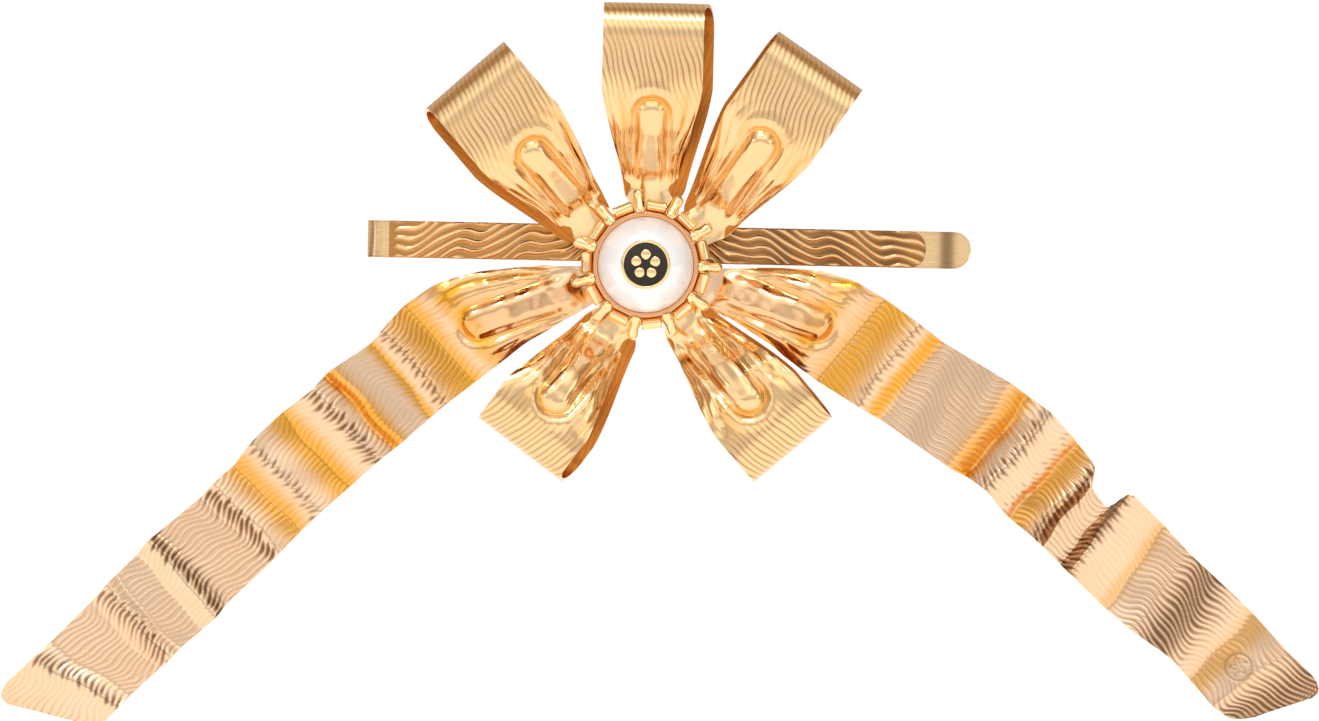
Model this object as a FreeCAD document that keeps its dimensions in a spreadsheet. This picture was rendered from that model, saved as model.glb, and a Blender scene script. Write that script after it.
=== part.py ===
"""A folded-ribbon bow hair slide: a spring clip, an engraved bar, seven metal ribbons and a pearl.

The slide stands as it is worn. X runs along the clip towards its open end, Z is up and the bow
faces -Y. The origin is in the middle of the clip's grip gap, behind the middle of the bow.
Pieces of the bow are drawn with their own Z pointing forward, so that a height in their sketches
is the distance in front of the middle of the grip gap.
"""
import FreeCAD
import Part
import math
import os
import re
import Sketcher

SIZES = {
    # spring clip
    "clip_gap": 1.4,
    "leaf_thickness": 0.8,
    "bar_width": 4.25,
    "fold_reach": 32.3,
    "tongue_reach": 37.6,
    "flare_reach": 34.3,
    "flare_lift": 0.5,
    "flare_radius": 4,
    "flare_run": 6,
    "flare_dip": 0.54,
    "fold_roundness": 0.98,
    "tongue_roundness": 0.46,
    "leg_reach": 37.0,
    "wave_depth": 0.9,
    "wave_length": 11,
    "wave_start": 12,
    "wave_radius": 5,
    "wave_flank": 0.3,
    "crest_radius": 4,
    "cover_left": 29.8,
    "cover_right": 32.4,
    "cover_thickness": 0.5,
    "cover_corner": 0.3,
    # middle of the bow
    "bow_drop": 2.43,
    "plate_radius": 7,
    "plate_thickness": 0.8,
    "stud_radius": 1,
    "stud_clearance": 0.05,
    "rivet_radius": 0.8,
    "rivet_spread": 3.2,
    "rivet_clearance": 0.05,
    "spacer_radius": 4.4,
    "cup_wall": 0.37,
    "cup_floor": 0.6,
    "cup_rim": 2.2,
    "seat_clearance": 0.05,
    "pearl_radius": 5.63,
    "pearl_lift": 0.57,
    "peg_radius": 0.5,
    "peg_length": 2.5,
    "badge_radius": 2.85,
    "badge_thickness": 0.5,
    "badge_rim": 0.35,
    "enamel_thickness": 0.2,
    "petal_radius": 0.55,
    "petal_ring": 1.05,
    "petal_count": 5,
    "flower_thickness": 0.15,
    "claw_count": 11,
    "claw_length": 2.95,
    "claw_radius": 0.575,
    "claw_rounding": 0.56,
    "claw_start_angle": 97,
    "bar_length": 2.15,
    "bar_radius": 0.72,
    "bar_rounding": 0.22,
    "collar_clearance": 0.05,
    # ribbons
    "ribbon_width": 11.6,
    "ribbon_thickness": 0.5,
    "strand_layers": 3,
    "tang_start": 4.6,
    "tang_width": 3,
    "tang_length": 2.55,
    "collar_width": 5.6,
    "neck_slope": 3.3,
    "rise_gap": 0.7,
    "rise_length": 8.3,
    "loop_depth": 7.4,
    "fold_radius": 3.4,
    "shoulder_radius": 9,
    "shoulder_drop": 0.3,
    "dip_radius": 3,
    "trim_margin": 3,
    "trim_overlap": 1,
    "tang_rounding": 1,
    "collar_rounding": 4,
    "neck_end_rounding": 12,
    "neck_rounding": 2,
    "plan_rounding": 8,
    "end_rounding": 1.6,
}

# label: direction in degrees, reach, sideways shift, how far the back strand shows at each side
LOOPS = {
    "top_loop": (89.7, 30.2, -0.23, 1.2, 0),
    "upper_left_loop": (131.6, 30.2, 1.58, 0, 1.1),
    "upper_right_loop": (55.7, 30.9, -2.9, 0, 0.5),
    "lower_left_loop": (234.2, 25.8, 0.95, 0, 1.1),
    "lower_right_loop": (-48.8, 27.3, -0.8, 0, 0.4),
}

# direction of each tail, and its crinkled side view as (along, in front of the plate, bend)
TAIL_DIRECTIONS = {"left_tail": 224.1, "right_tail": -38.5}
TAIL_CRINKLES = {
    "left_tail": (
        (9.5, 0, 2),
        (15.5, 3.4, 3),
        (24, 3, 1),
        (27.9, 4.6, 1.2),
        (29.8, 3.9, 0.8),
        (35.4, 4.9, 1.2),
        (38, 3.7, 0.8),
        (42.5, 5, 1.5),
        (47.4, 4.1, 1.2),
        (53.5, 5.2, 1.5),
        (63.6, 3.9, 2),
        (70.6, 5, 1.5),
        (81.5, 4, 1.5),
        (88.2, 4.6, 0),
    ),
    "right_tail": (
        (9.5, 0, 2),
        (15.5, 3.4, 3),
        (23.8, 3.2, 1),
        (29.2, 5, 1.2),
        (32.6, 4, 0.8),
        (43, 5.2, 1.5),
        (45.5, 4.4, 0.8),
        (50, 3.6, 1.2),
        (54.2, 5.2, 1.2),
        (59.8, 4, 0.8),
        (69.5, 5.2, 1.5),
        (75.6, 4.2, 1.5),
        (80, 4.9, 1.5),
        (91.6, 4.2, 0),
    ),
}
# plan of each tail: its neck's outer side, its middle line as (along, across), how far along its
# end's outer and inner corners are, and its neck's inner side
TAIL_PLANS = {
    "left_tail": (
        ((3.6, -3.25), (7, -6.4), (14.8, -12.7)),
        ((22, -9.5), (42, -10.2), (70, -9.6)),
        (87.8, 81.4),
        ((13, -2.2), (8.6, -1.3), (4.8, -0.5)),
    ),
    "right_tail": (
        ((3.75, 3.1), (8.2, 6.1), (15.5, 11.9)),
        ((22, 8.3), (45, 10.3), (58, 9.4), (75, 8.7)),
        (91.3, 85.2),
        ((14.4, 1.9), (10.6, 1.2), (4.8, 0.3)),
    ),
}
END_ACROSS = {"left_tail": -9.3, "right_tail": 7.6}

LEAF_BACK = "clip_gap / 2"
LEAF_FRONT = LEAF_BACK + " + leaf_thickness"
STRIP_MIDDLE = "(clip_gap / 2 + leaf_thickness / 2)"
FOLD_CENTRE = "-fold_reach + clip_gap / 2 + leaf_thickness"
TONGUE_ROUNDING = "bar_width * tongue_roundness"
WAVES = 3
COVER_FRONT = LEAF_FRONT + " + cover_thickness"
PLATE_FRONT = COVER_FRONT + " + plate_thickness"
CUP_BACK = PLATE_FRONT + " + strand_layers * ribbon_thickness"
CUP_FLOOR = CUP_BACK + " + cup_floor"
PEARL_MIDDLE = CUP_FLOOR + " + pearl_lift"
BADGE_SEAT = PEARL_MIDDLE + " + (pearl_radius ^ 2 - badge_radius ^ 2) ^ 0.5"
CUP_RADIUS = "(pearl_radius + seat_clearance + cup_wall)"
COLLAR_START = CUP_RADIUS + " + collar_clearance"
CLAW_REACH = CUP_RADIUS + " + claw_length"
TANG_END = CUP_RADIUS + " + tang_length"
NECK_END = TANG_END + " + neck_slope * (ribbon_width - collar_width) / 2"
RISE_START = CLAW_REACH + " + rise_gap"
RISE_END = RISE_START + " + rise_length"
HOLE_RADIUS = "stud_radius + stud_clearance"
RIVET_HOLE = "rivet_radius + rivet_clearance"

Vector = FreeCAD.Vector
doc = FreeCAD.newDocument("HairSlide")
sheet = doc.addObject("Spreadsheet::Sheet", "Sizes")


def fill_sheet():
    for row, (alias, size) in enumerate(SIZES.items(), start=1):
        sheet.set(f"A{row}", alias)
        sheet.set(f"B{row}", str(size))
        sheet.setAlias(f"B{row}", alias)
    doc.recompute()


def formula(text):
    """Turns a formula of plain size names into one that reads the sheet's cells."""
    return re.sub(r"[a-z_]{2,}", lambda name: "Sizes." + name.group(), str(text))


def value(text):
    return float(sheet.evalExpression(formula(text)))


def vector(x, y):
    return Vector(value(x), value(y), 0)


def new_body(label):
    body = doc.addObject("PartDesign::Body", label)
    body.Label = label
    body.AllowCompound = True
    return body


def new_sketch(body, name, role, offset=0):
    """A sketch on one of the body's own origin planes, moved along that plane's normal."""
    sketch = body.newObject("Sketcher::SketchObject", name)
    plane = next(item for item in body.Origin.OriginFeatures if item.Role == role)
    sketch.AttachmentSupport = [(plane, "")]
    sketch.MapMode = "FlatFace"
    sketch.setExpression("AttachmentOffset.Base.z", formula(offset))
    return sketch


def bind(sketch, kind, *where, size):
    index = sketch.addConstraint(Sketcher.Constraint(kind, *where, value(size)))
    sketch.setExpression(f"Constraints[{index}]", formula(size))


def pin(sketch, geometry, end, x, y):
    """Ties one point of the sketch to a place worked out from the sheet."""
    bind(sketch, "DistanceX", -1, 1, geometry, end, size=x)
    bind(sketch, "DistanceY", -1, 1, geometry, end, size=y)


def add_circle(sketch, x, y, radius):
    circle = Part.Circle(vector(x, y), Vector(0, 0, 1), value(radius))
    index = sketch.addGeometry(circle, False)
    pin(sketch, index, 3, x, y)
    bind(sketch, "Radius", index, size=radius)


def corner_arc(before, corner, after, radius):
    """The arc that rounds a corner, its two ends in travel order, and whether it turns left."""
    arrive = (corner - before).normalize()
    leave = (after - corner).normalize()
    turn = math.atan2(arrive.x * leave.y - arrive.y * leave.x, arrive.dot(leave))
    setback = radius * math.tan(abs(turn) / 2)
    left = turn > 0
    first = corner - arrive * setback
    side = Vector(-arrive.y, arrive.x, 0) * (radius if left else -radius)
    centre = first + side
    last = corner + leave * setback
    start, end = (first, last) if left else (last, first)
    angles = [math.atan2(p.y - centre.y, p.x - centre.x) for p in (start, end)]
    if angles[1] < angles[0]:
        angles[1] += 2 * math.pi
    arc = Part.ArcOfCircle(Part.Circle(centre, Vector(0, 0, 1), radius), *angles)
    return arc, first, last, left


def rounded_line(sketch, corners, closed):
    """Straight runs through the corners, each an (x, y, radius), joined by tangent arcs."""
    points = [vector(x, y) for x, y, _ in corners]
    count = len(corners)
    arcs = {}
    for i, (_, _, radius) in enumerate(corners):
        if value(radius) > 0:
            before, after = points[i - 1], points[(i + 1) % count]
            arcs[i] = corner_arc(before, points[i], after, value(radius))
    runs = []
    for i in range(count if closed else count - 1):
        j = (i + 1) % count
        begin = arcs[i][2] if i in arcs else points[i]
        finish = arcs[j][1] if j in arcs else points[j]
        runs.append(sketch.addGeometry(Part.LineSegment(begin, finish), False))
    for i, (x, y, radius) in enumerate(corners):
        outgoing = runs[i] if i < len(runs) else None
        incoming = runs[i - 1] if i > 0 or closed else None
        if i in arcs:
            join_with_arc(sketch, arcs[i], incoming, outgoing, corners[i])
            continue
        if incoming is not None and outgoing is not None:
            sketch.addConstraint(Sketcher.Constraint("Coincident", incoming, 2, outgoing, 1))
        if outgoing is not None:
            pin(sketch, outgoing, 1, x, y)
        else:
            pin(sketch, incoming, 2, x, y)


def join_with_arc(sketch, arc_ends, incoming, outgoing, corner):
    arc, _, _, left = arc_ends
    x, y, radius = corner
    bend = sketch.addGeometry(arc, False)
    enter, leave = (1, 2) if left else (2, 1)
    sketch.addConstraint(Sketcher.Constraint("Tangent", incoming, 2, bend, enter))
    sketch.addConstraint(Sketcher.Constraint("Tangent", bend, leave, outgoing, 1))
    bind(sketch, "Radius", bend, size=radius)
    mark = sketch.addGeometry(Part.Point(vector(x, y)), True)
    pin(sketch, mark, 1, x, y)
    sketch.addConstraint(Sketcher.Constraint("PointOnObject", mark, 1, incoming))
    sketch.addConstraint(Sketcher.Constraint("PointOnObject", mark, 1, outgoing))


def sharp(*points):
    return [(x, y, 0) for x, y in points]


def rectangle(x_low, y_low, x_high, y_high):
    return sharp((x_low, y_low), (x_high, y_low), (x_high, y_high), (x_low, y_high))


def bend_strip(body, path_role, path, section_role, offset, section):
    """Sweeps a strip's cross-section along its bent side view."""
    spine = new_sketch(body, "SideView", path_role)
    rounded_line(spine, path, closed=False)
    profile = new_sketch(body, "StripSection", section_role, offset)
    rounded_line(profile, section, closed=True)
    pipe = body.newObject("PartDesign::AdditivePipe", "Strip")
    pipe.Profile = profile
    pipe.Spine = spine
    doc.recompute()


def trim(body, name, role, offset, outline, frame, side):
    """Cuts away what lies between the outline and a frame round it, on one or both sides."""
    sketch = new_sketch(body, name + "Outline", role, offset)
    rounded_line(sketch, frame, closed=True)
    rounded_line(sketch, outline, closed=True)
    pocket = body.newObject("PartDesign::Pocket", name)
    pocket.Profile = sketch
    pocket.Type = "ThroughAll"
    pocket.Midplane = side == "both"
    pocket.Reversed = side == "front"
    doc.recompute()


def bore_for_rivets(body, role, height):
    """Two holes through the whole piece, at one height and the rivets' spacing."""
    sketch = new_sketch(body, "RivetCircles", role)
    add_circle(sketch, "rivet_spread", height, RIVET_HOLE)
    add_circle(sketch, "-rivet_spread", height, RIVET_HOLE)
    pocket = body.newObject("PartDesign::Pocket", "RivetHoles")
    pocket.Profile = sketch
    pocket.Type = "ThroughAll"
    pocket.Midplane = True
    doc.recompute()


def spin(body, outline, axis="V_Axis"):
    """Turns an (outwards, forwards) outline about the sketch's axis."""
    sketch = new_sketch(body, "Profile", "XZ_Plane")
    rounded_line(sketch, outline, closed=True)
    revolution = body.newObject("PartDesign::Revolution", "Turned")
    revolution.Profile = sketch
    revolution.ReferenceAxis = (sketch, [axis])
    doc.recompute()


def repeat_round(body, feature, count):
    """Repeats the body's one feature evenly about its own Z axis."""
    pattern = body.newObject("PartDesign::PolarPattern", "Round")
    pattern.Originals = [feature]
    axis = next(item for item in body.Origin.OriginFeatures if item.Role == "Z_Axis")
    pattern.Axis = (axis, [""])
    pattern.Angle = 360
    pattern.setExpression("Occurrences", formula(count))
    body.Tip = pattern
    doc.recompute()


def face_forward(piece, direction=0, sideways=0):
    """Points a piece's own X in a direction seen from the front, and its own Z forward."""
    turned = FreeCAD.Rotation(Vector(0, -1, 0), direction)
    forward = turned.multiply(FreeCAD.Rotation(Vector(1, 0, 0), 90))
    middle = Vector(0, 0, -value("bow_drop"))
    piece.Placement = FreeCAD.Placement(middle + forward.multVec(Vector(0, sideways, 0)), forward)


def loop_side_view(reach):
    tang = PLATE_FRONT + " + 1.5 * ribbon_thickness"
    top = tang + " + loop_depth"
    outer = f"{reach} - ribbon_thickness / 2"
    return [
        ("tang_start", tang, 0),
        (outer, tang, "fold_radius"),
        (outer, top, "fold_radius"),
        (RISE_END, top + " - shoulder_drop", "shoulder_radius"),
        (RISE_START, tang + " + ribbon_thickness", "dip_radius"),
        ("tang_start", tang + " + ribbon_thickness", 0),
    ]


def ribbon_section(low, high, middle):
    below, above = middle + " - ribbon_thickness / 2", middle + " + ribbon_thickness / 2"
    return rectangle(low, below, high, above)


def loop_outline(reach, right, left):
    """A loop's plan: a narrow tang, a collar, and a neck that widens to the full ribbon."""
    end = f"{reach} + ribbon_thickness"
    return [
        ("tang_start - 1", "-tang_width / 2", 0),
        ("tang_start + 1", "-tang_width / 2", "tang_rounding"),
        (TANG_END, f"-collar_width / 2 - {right}", "collar_rounding"),
        (NECK_END, f"-ribbon_width / 2 - {right}", "neck_end_rounding"),
        (end, f"-ribbon_width / 2 - {right}", 0),
        (end, f"ribbon_width / 2 + {left}", 0),
        (NECK_END, f"ribbon_width / 2 + {left}", "neck_end_rounding"),
        (TANG_END, f"collar_width / 2 + {left}", "collar_rounding"),
        ("tang_start + 1", "tang_width / 2", "tang_rounding"),
        ("tang_start - 1", "tang_width / 2", 0),
    ]


def make_loop(label):
    """A strip folded over at its far end, with both ends cut down to tangs under the cup."""
    direction, reach, sideways, right, left = LOOPS[label]
    body = new_body(label)
    low = f"-ribbon_width / 2 - {right} - 1"
    high = f"ribbon_width / 2 + {left} + 1"
    tang = PLATE_FRONT + " + 1.5 * ribbon_thickness"
    section = ribbon_section(low, high, tang)
    bend_strip(body, "XZ_Plane", loop_side_view(reach), "YZ_Plane", "tang_start", section)
    split = tang + " + ribbon_thickness / 2"
    frame = rectangle(
        "tang_start - trim_margin",
        f"{low} - trim_margin",
        f"{reach} + trim_margin",
        f"{high} + trim_margin",
    )
    outline = loop_outline(reach, 0, 0)
    trim(body, "FrontTrim", "XY_Plane", split, outline, frame, "front")
    outline = loop_outline(reach, right, left)
    trim(body, "BackTrim", "XY_Plane", split, outline, frame, "back")
    face_forward(body, direction, sideways)
    return body


def tail_outline(label):
    """A tail's plan: the neck that leaves the collar, the full ribbon, and its slanted end."""
    outer, middle, ends, inner = TAIL_PLANS[label]
    across = END_ACROSS[label]
    side = 1 if across > 0 else -1
    half = f"{side} * ribbon_width / 2"
    outline = [(*outer[0], 0)]
    outline += [(x, y, "neck_rounding") for x, y in outer[1:]]
    outline += [(x, f"{y} + {half}", "plan_rounding") for x, y in middle]
    outline += [(ends[0], f"{across} + {half}", "end_rounding")]
    outline += [(ends[1], f"{across} - {half}", "end_rounding")]
    outline += [(x, f"{y} - {half}", "plan_rounding") for x, y in reversed(middle)]
    outline += [(x, y, "neck_rounding") for x, y in inner[:-1]]
    outline += [(*inner[-1], 0)]
    return outline


def make_tail(label):
    """A single crinkled strip that turns as it leaves the collar, and its rounded end."""
    body = new_body(label)
    base = PLATE_FRONT + " + ribbon_thickness / 2"
    crinkles = TAIL_CRINKLES[label]
    path = [("tang_start - 2", base, 0)]
    path += [(x, f"{base} + {rise}", bend) for x, rise, bend in crinkles]
    low, high = ("-ribbon_width - 6", 2) if label == "left_tail" else (-2, "ribbon_width + 6")
    section = ribbon_section(low, high, base)
    bend_strip(body, "XZ_Plane", path, "YZ_Plane", "tang_start - 2", section)
    end = crinkles[-1][0]
    frame = rectangle(0, f"{low} - trim_margin", f"{end} + trim_margin", f"{high} + trim_margin")
    trim(body, "Trim", "XY_Plane", 0, tail_outline(label), frame, "front")
    face_forward(body, TAIL_DIRECTIONS[label])
    return body


def make_backing_plate():
    body = new_body("backing_plate")
    outline = rectangle(HOLE_RADIUS, COVER_FRONT, "plate_radius", PLATE_FRONT)
    spin(body, outline)
    bore_for_rivets(body, "XY_Plane", "bow_drop")
    face_forward(body)
    return body


def make_rivets():
    """Two flush rivets that hold the backing plate to the clip."""
    body = new_body("bow_rivets")
    sketch = new_sketch(body, "RivetCircles", "XZ_Plane", LEAF_BACK)
    add_circle(sketch, "rivet_spread", 0, "rivet_radius")
    add_circle(sketch, "-rivet_spread", 0, "rivet_radius")
    pad = body.newObject("PartDesign::Pad", "Rivets")
    pad.Profile = sketch
    pad.setExpression("Length", formula(f"{PLATE_FRONT} - {LEAF_BACK}"))
    doc.recompute()
    return body


def make_tang_spacer():
    """A washer that fills the space between the inner ends of the tangs."""
    body = new_body("tang_spacer")
    spin(body, rectangle(HOLE_RADIUS, PLATE_FRONT, "spacer_radius", CUP_BACK))
    face_forward(body)
    return body


def make_pearl_cup():
    """A shallow cup round the pearl, on a stud peened flush behind the backing plate."""
    body = new_body("pearl_cup")
    inside = "pearl_radius + seat_clearance"
    rim = CUP_BACK + " + cup_rim"
    outline = sharp(
        (0, COVER_FRONT),
        ("stud_radius", COVER_FRONT),
        ("stud_radius", CUP_BACK),
        (CUP_RADIUS, CUP_BACK),
        (CUP_RADIUS, rim),
        (inside, rim),
        (inside, CUP_FLOOR),
        (0, CUP_FLOOR),
    )
    spin(body, outline)
    face_forward(body)
    return body


def make_ring_of_rods(label, plane, axis, offset, outline, angle):
    """One rod, turned about its sketch's own moved axis and repeated round the cup."""
    body = new_body(label)
    sketch = new_sketch(body, "HalfRod", plane)
    for direction, shift in zip("xyz", offset):
        sketch.setExpression(f"AttachmentOffset.Base.{direction}", formula(shift))
    rounded_line(sketch, outline, closed=True)
    rod = body.newObject("PartDesign::Revolution", "Rod")
    rod.Profile = sketch
    rod.ReferenceAxis = (sketch, [axis])
    doc.recompute()
    repeat_round(body, rod, "claw_count")
    face_forward(body, angle)
    return body


def make_claws():
    """The claws lie outwards from the cup."""
    offset = (0, f"{CUP_BACK} + claw_radius", 0)
    outline = [
        (COLLAR_START, 0, 0),
        (CLAW_REACH, 0, 0),
        (CLAW_REACH, "claw_radius", "claw_rounding"),
        (COLLAR_START, "claw_radius", 0),
    ]
    angle = value("claw_start_angle")
    return make_ring_of_rods("claw_prongs", "XZ_Plane", "H_Axis", offset, outline, angle)


def make_collar_bars():
    """The bars lie round the cup, one between each two claws."""
    offset = (f"{COLLAR_START} + bar_radius", 0, f"{CUP_BACK} + bar_radius")
    outline = [
        (0, "-bar_length / 2", 0),
        ("bar_radius", "-bar_length / 2", "bar_rounding"),
        ("bar_radius", "bar_length / 2", "bar_rounding"),
        (0, "bar_length / 2", 0),
    ]
    angle = value("claw_start_angle + 180 / claw_count")
    return make_ring_of_rods("collar_bars", "XY_Plane", "V_Axis", offset, outline, angle)


def make_pearl():
    """A button pearl: a ball cut flat at the back and under the badge, drilled for its peg."""
    ball = doc.addObject("Part::Sphere", "PearlBall")
    ball.setExpression("Radius", formula("pearl_radius"))
    ball.setExpression("Angle1", "-asin(" + formula("pearl_lift / pearl_radius") + ")")
    ball.setExpression("Angle2", "acos(" + formula("badge_radius / pearl_radius") + ")")
    ball.setExpression("Placement.Base.z", formula(PEARL_MIDDLE))
    drilling = doc.addObject("Part::Cylinder", "PearlDrilling")
    drilling.setExpression("Radius", formula("peg_radius"))
    drilling.setExpression("Height", formula("peg_length"))
    drilling.setExpression("Placement.Base.z", formula(CUP_FLOOR))
    pearl = doc.addObject("Part::Cut", "pearl")
    pearl.Label = "pearl"
    pearl.Base = ball
    pearl.Tool = drilling
    face_forward(pearl)
    return pearl


def make_pearl_peg():
    peg = doc.addObject("Part::Cylinder", "pearl_peg")
    peg.Label = "pearl_peg"
    peg.setExpression("Radius", formula("peg_radius"))
    peg.setExpression("Height", formula("peg_length"))
    face_forward(peg)
    peg.Placement.Base += Vector(0, -value(CUP_FLOOR), 0)
    return peg


def make_badge():
    """A shallow round dish on the pearl, with a raised rim."""
    body = new_body("emblem_badge")
    front = BADGE_SEAT + " + badge_thickness"
    inside = "badge_radius - badge_rim"
    floor = front + " - enamel_thickness - flower_thickness"
    outline = sharp(
        (0, BADGE_SEAT),
        ("badge_radius", BADGE_SEAT),
        ("badge_radius", front),
        (inside, front),
        (inside, floor),
        (0, floor),
    )
    spin(body, outline)
    face_forward(body)
    return body


def make_enamel():
    body = new_body("emblem_enamel")
    top = BADGE_SEAT + " + badge_thickness - flower_thickness"
    outline = rectangle(0, top + " - enamel_thickness", "badge_radius - badge_rim", top)
    spin(body, outline)
    face_forward(body)
    return body


def make_flower():
    """Round petals about a middle disc, lying on the enamel."""
    body = new_body("emblem_flower")
    back = BADGE_SEAT + " + badge_thickness - flower_thickness"
    petal = new_sketch(body, "PetalCircle", "XY_Plane", back)
    add_circle(petal, "petal_ring", 0, "petal_radius")
    pad = body.newObject("PartDesign::Pad", "Petal")
    pad.Profile = petal
    pad.setExpression("Length", formula("flower_thickness"))
    doc.recompute()
    repeat_round(body, pad, "petal_count")
    middle = new_sketch(body, "MiddleCircle", "XY_Plane", back)
    add_circle(middle, 0, 0, "petal_ring - petal_radius / 2")
    disc = body.newObject("PartDesign::Pad", "Middle")
    disc.Profile = middle
    disc.setExpression("Length", formula("flower_thickness"))
    face_forward(body, 90)
    return body


def make_cover_bar():
    """The engraved strip on the front of the clip, square at one end and rounded at the other."""
    body = new_body("cover_bar")
    sketch = new_sketch(body, "Plan", "XZ_Plane", LEAF_FRONT)
    half = "bar_width / 2"
    outline = [
        ("-cover_left", f"-{half}", "cover_corner"),
        ("cover_right", f"-{half}", TONGUE_ROUNDING),
        ("cover_right", half, TONGUE_ROUNDING),
        ("-cover_left", half, "cover_corner"),
    ]
    rounded_line(sketch, outline, closed=True)
    pad = body.newObject("PartDesign::Pad", "Strip")
    pad.Profile = sketch
    pad.setExpression("Length", formula("cover_thickness"))
    doc.recompute()
    bore_for_rivets(body, "XZ_Plane", 0)
    return body


def clip_section(y_low, y_high):
    """The clip strip's cross-section on the YZ plane, the bar's width tall."""
    return rectangle(y_low, "-bar_width / 2", y_high, "bar_width / 2")


def round_tongue(body, tip):
    """Rounds the open end of a clip strip."""
    half = "bar_width / 2"
    start = "-fold_reach - trim_margin"
    outline = [
        (start, f"-{half}", 0),
        (tip, f"-{half}", TONGUE_ROUNDING),
        (tip, half, TONGUE_ROUNDING),
        (start, half, 0),
    ]
    reach = f"{tip} + trim_margin"
    frame = rectangle(f"{start} - trim_overlap", f"-{half} - trim_margin", reach, f"{half} + trim_margin")
    trim(body, "TongueTrim", "XZ_Plane", 0, outline, frame, "both")


def make_upper_leaf():
    """The clip's spring strip: the U fold at its left, the leaf, and a tongue that flares forward."""
    body = new_body("clip_upper_leaf")
    turn = "-fold_reach + leaf_thickness / 2"
    rounding = f"{STRIP_MIDDLE} * fold_roundness"
    path = [
        (FOLD_CENTRE, STRIP_MIDDLE, 0),
        (turn, STRIP_MIDDLE, rounding),
        (turn, f"-{STRIP_MIDDLE}", rounding),
        ("flare_reach", f"-{STRIP_MIDDLE}", "flare_radius"),
        ("tongue_reach + trim_overlap", f"-{STRIP_MIDDLE} - flare_lift", 0),
    ]
    section = clip_section(LEAF_BACK, LEAF_FRONT)
    bend_strip(body, "XY_Plane", path, "YZ_Plane", FOLD_CENTRE, section)
    round_tongue(body, "tongue_reach")
    bore_for_rivets(body, "XZ_Plane", 0)
    return body


def make_lower_leg():
    """The sprung leg behind the leaf: flat by the fold, waved to hold hair, flared at its tip."""
    body = new_body("clip_lower_leg")
    path = [(FOLD_CENTRE, STRIP_MIDDLE, 0)]
    for wave in range(WAVES):
        middle = f"-fold_reach + wave_start + {wave + 0.5} * wave_length"
        path.append((f"{middle} - wave_length * wave_flank", STRIP_MIDDLE, "wave_radius"))
        path.append((middle, f"{STRIP_MIDDLE} - wave_depth", "crest_radius"))
        path.append((f"{middle} + wave_length * wave_flank", STRIP_MIDDLE, "wave_radius"))
    path.append(("flare_reach - flare_run", f"{STRIP_MIDDLE} - flare_dip", "flare_radius"))
    path.append(("leg_reach + trim_overlap", f"{STRIP_MIDDLE} + flare_lift", 0))
    section = clip_section(LEAF_BACK, LEAF_FRONT)
    bend_strip(body, "XY_Plane", path, "YZ_Plane", FOLD_CENTRE, section)
    round_tongue(body, "leg_reach")
    return body


def check_document():
    for item in doc.Objects:
        if "Invalid" in item.State or "Error" in item.State:
            raise RuntimeError(f"{item.Name} failed: {item.State}")


def check_pieces(pieces):
    for piece in pieces:
        if piece.Shape.isNull() or not piece.Shape.isValid() or not piece.Shape.Solids:
            raise RuntimeError(f"{piece.Label} has no valid solid")


def main():
    fill_sheet()
    pieces = [make_upper_leaf(), make_lower_leg(), make_cover_bar(), make_backing_plate()]
    pieces += [make_rivets()]
    pieces += [make_loop(label) for label in LOOPS]
    pieces += [make_tail(label) for label in TAIL_DIRECTIONS]
    pieces += [make_tang_spacer(), make_pearl_cup(), make_claws(), make_collar_bars()]
    pieces += [make_pearl(), make_pearl_peg(), make_badge(), make_enamel(), make_flower()]
    doc.recompute()
    check_document()
    check_pieces(pieces)
    os.makedirs("parts", exist_ok=True)
    for piece in pieces:
        piece.Shape.exportStep(f"parts/{piece.Label}.step")
        print(piece.Label, len(piece.Shape.Solids), "solids", round(piece.Shape.Volume, 2), "mm3")


main()
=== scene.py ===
"""The looks of a gold ribbon-bow hair slide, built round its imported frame.

The file is laid out as an add-on: sizes and colours are in property groups, each group of like
pieces has an operator, and the panel lists them. Lengths in the property groups are millimetres.
Pieces of the bow are worked out as (along, across, forward) from the middle of the pearl.
"""
import math

import bpy
import numpy as np
from bpy.props import FloatProperty, FloatVectorProperty, IntProperty, PointerProperty
from mathutils import Matrix, Vector


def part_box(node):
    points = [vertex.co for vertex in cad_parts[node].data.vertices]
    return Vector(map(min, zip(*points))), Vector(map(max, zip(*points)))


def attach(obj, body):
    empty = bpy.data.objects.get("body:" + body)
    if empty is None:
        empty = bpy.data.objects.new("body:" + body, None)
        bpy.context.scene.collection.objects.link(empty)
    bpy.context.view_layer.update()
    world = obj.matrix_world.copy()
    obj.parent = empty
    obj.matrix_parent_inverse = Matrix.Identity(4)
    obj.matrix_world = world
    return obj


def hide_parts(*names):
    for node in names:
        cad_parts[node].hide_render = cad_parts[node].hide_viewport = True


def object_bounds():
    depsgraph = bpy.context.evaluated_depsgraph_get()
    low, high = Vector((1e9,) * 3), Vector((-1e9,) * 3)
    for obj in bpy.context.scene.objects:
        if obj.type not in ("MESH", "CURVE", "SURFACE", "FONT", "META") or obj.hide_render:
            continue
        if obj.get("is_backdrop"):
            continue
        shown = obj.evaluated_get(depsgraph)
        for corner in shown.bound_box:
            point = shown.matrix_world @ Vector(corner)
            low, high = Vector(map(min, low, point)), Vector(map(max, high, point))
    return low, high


bl_info = {
    "name": "Ribbon bow hair slide",
    "version": (1, 0, 0),
    "blender": (4, 5, 0),
    "location": "3D View > Sidebar > Hair Slide",
    "description": "Builds the looks of a gold hair slide round its frame",
    "category": "Add Mesh",
}

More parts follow.
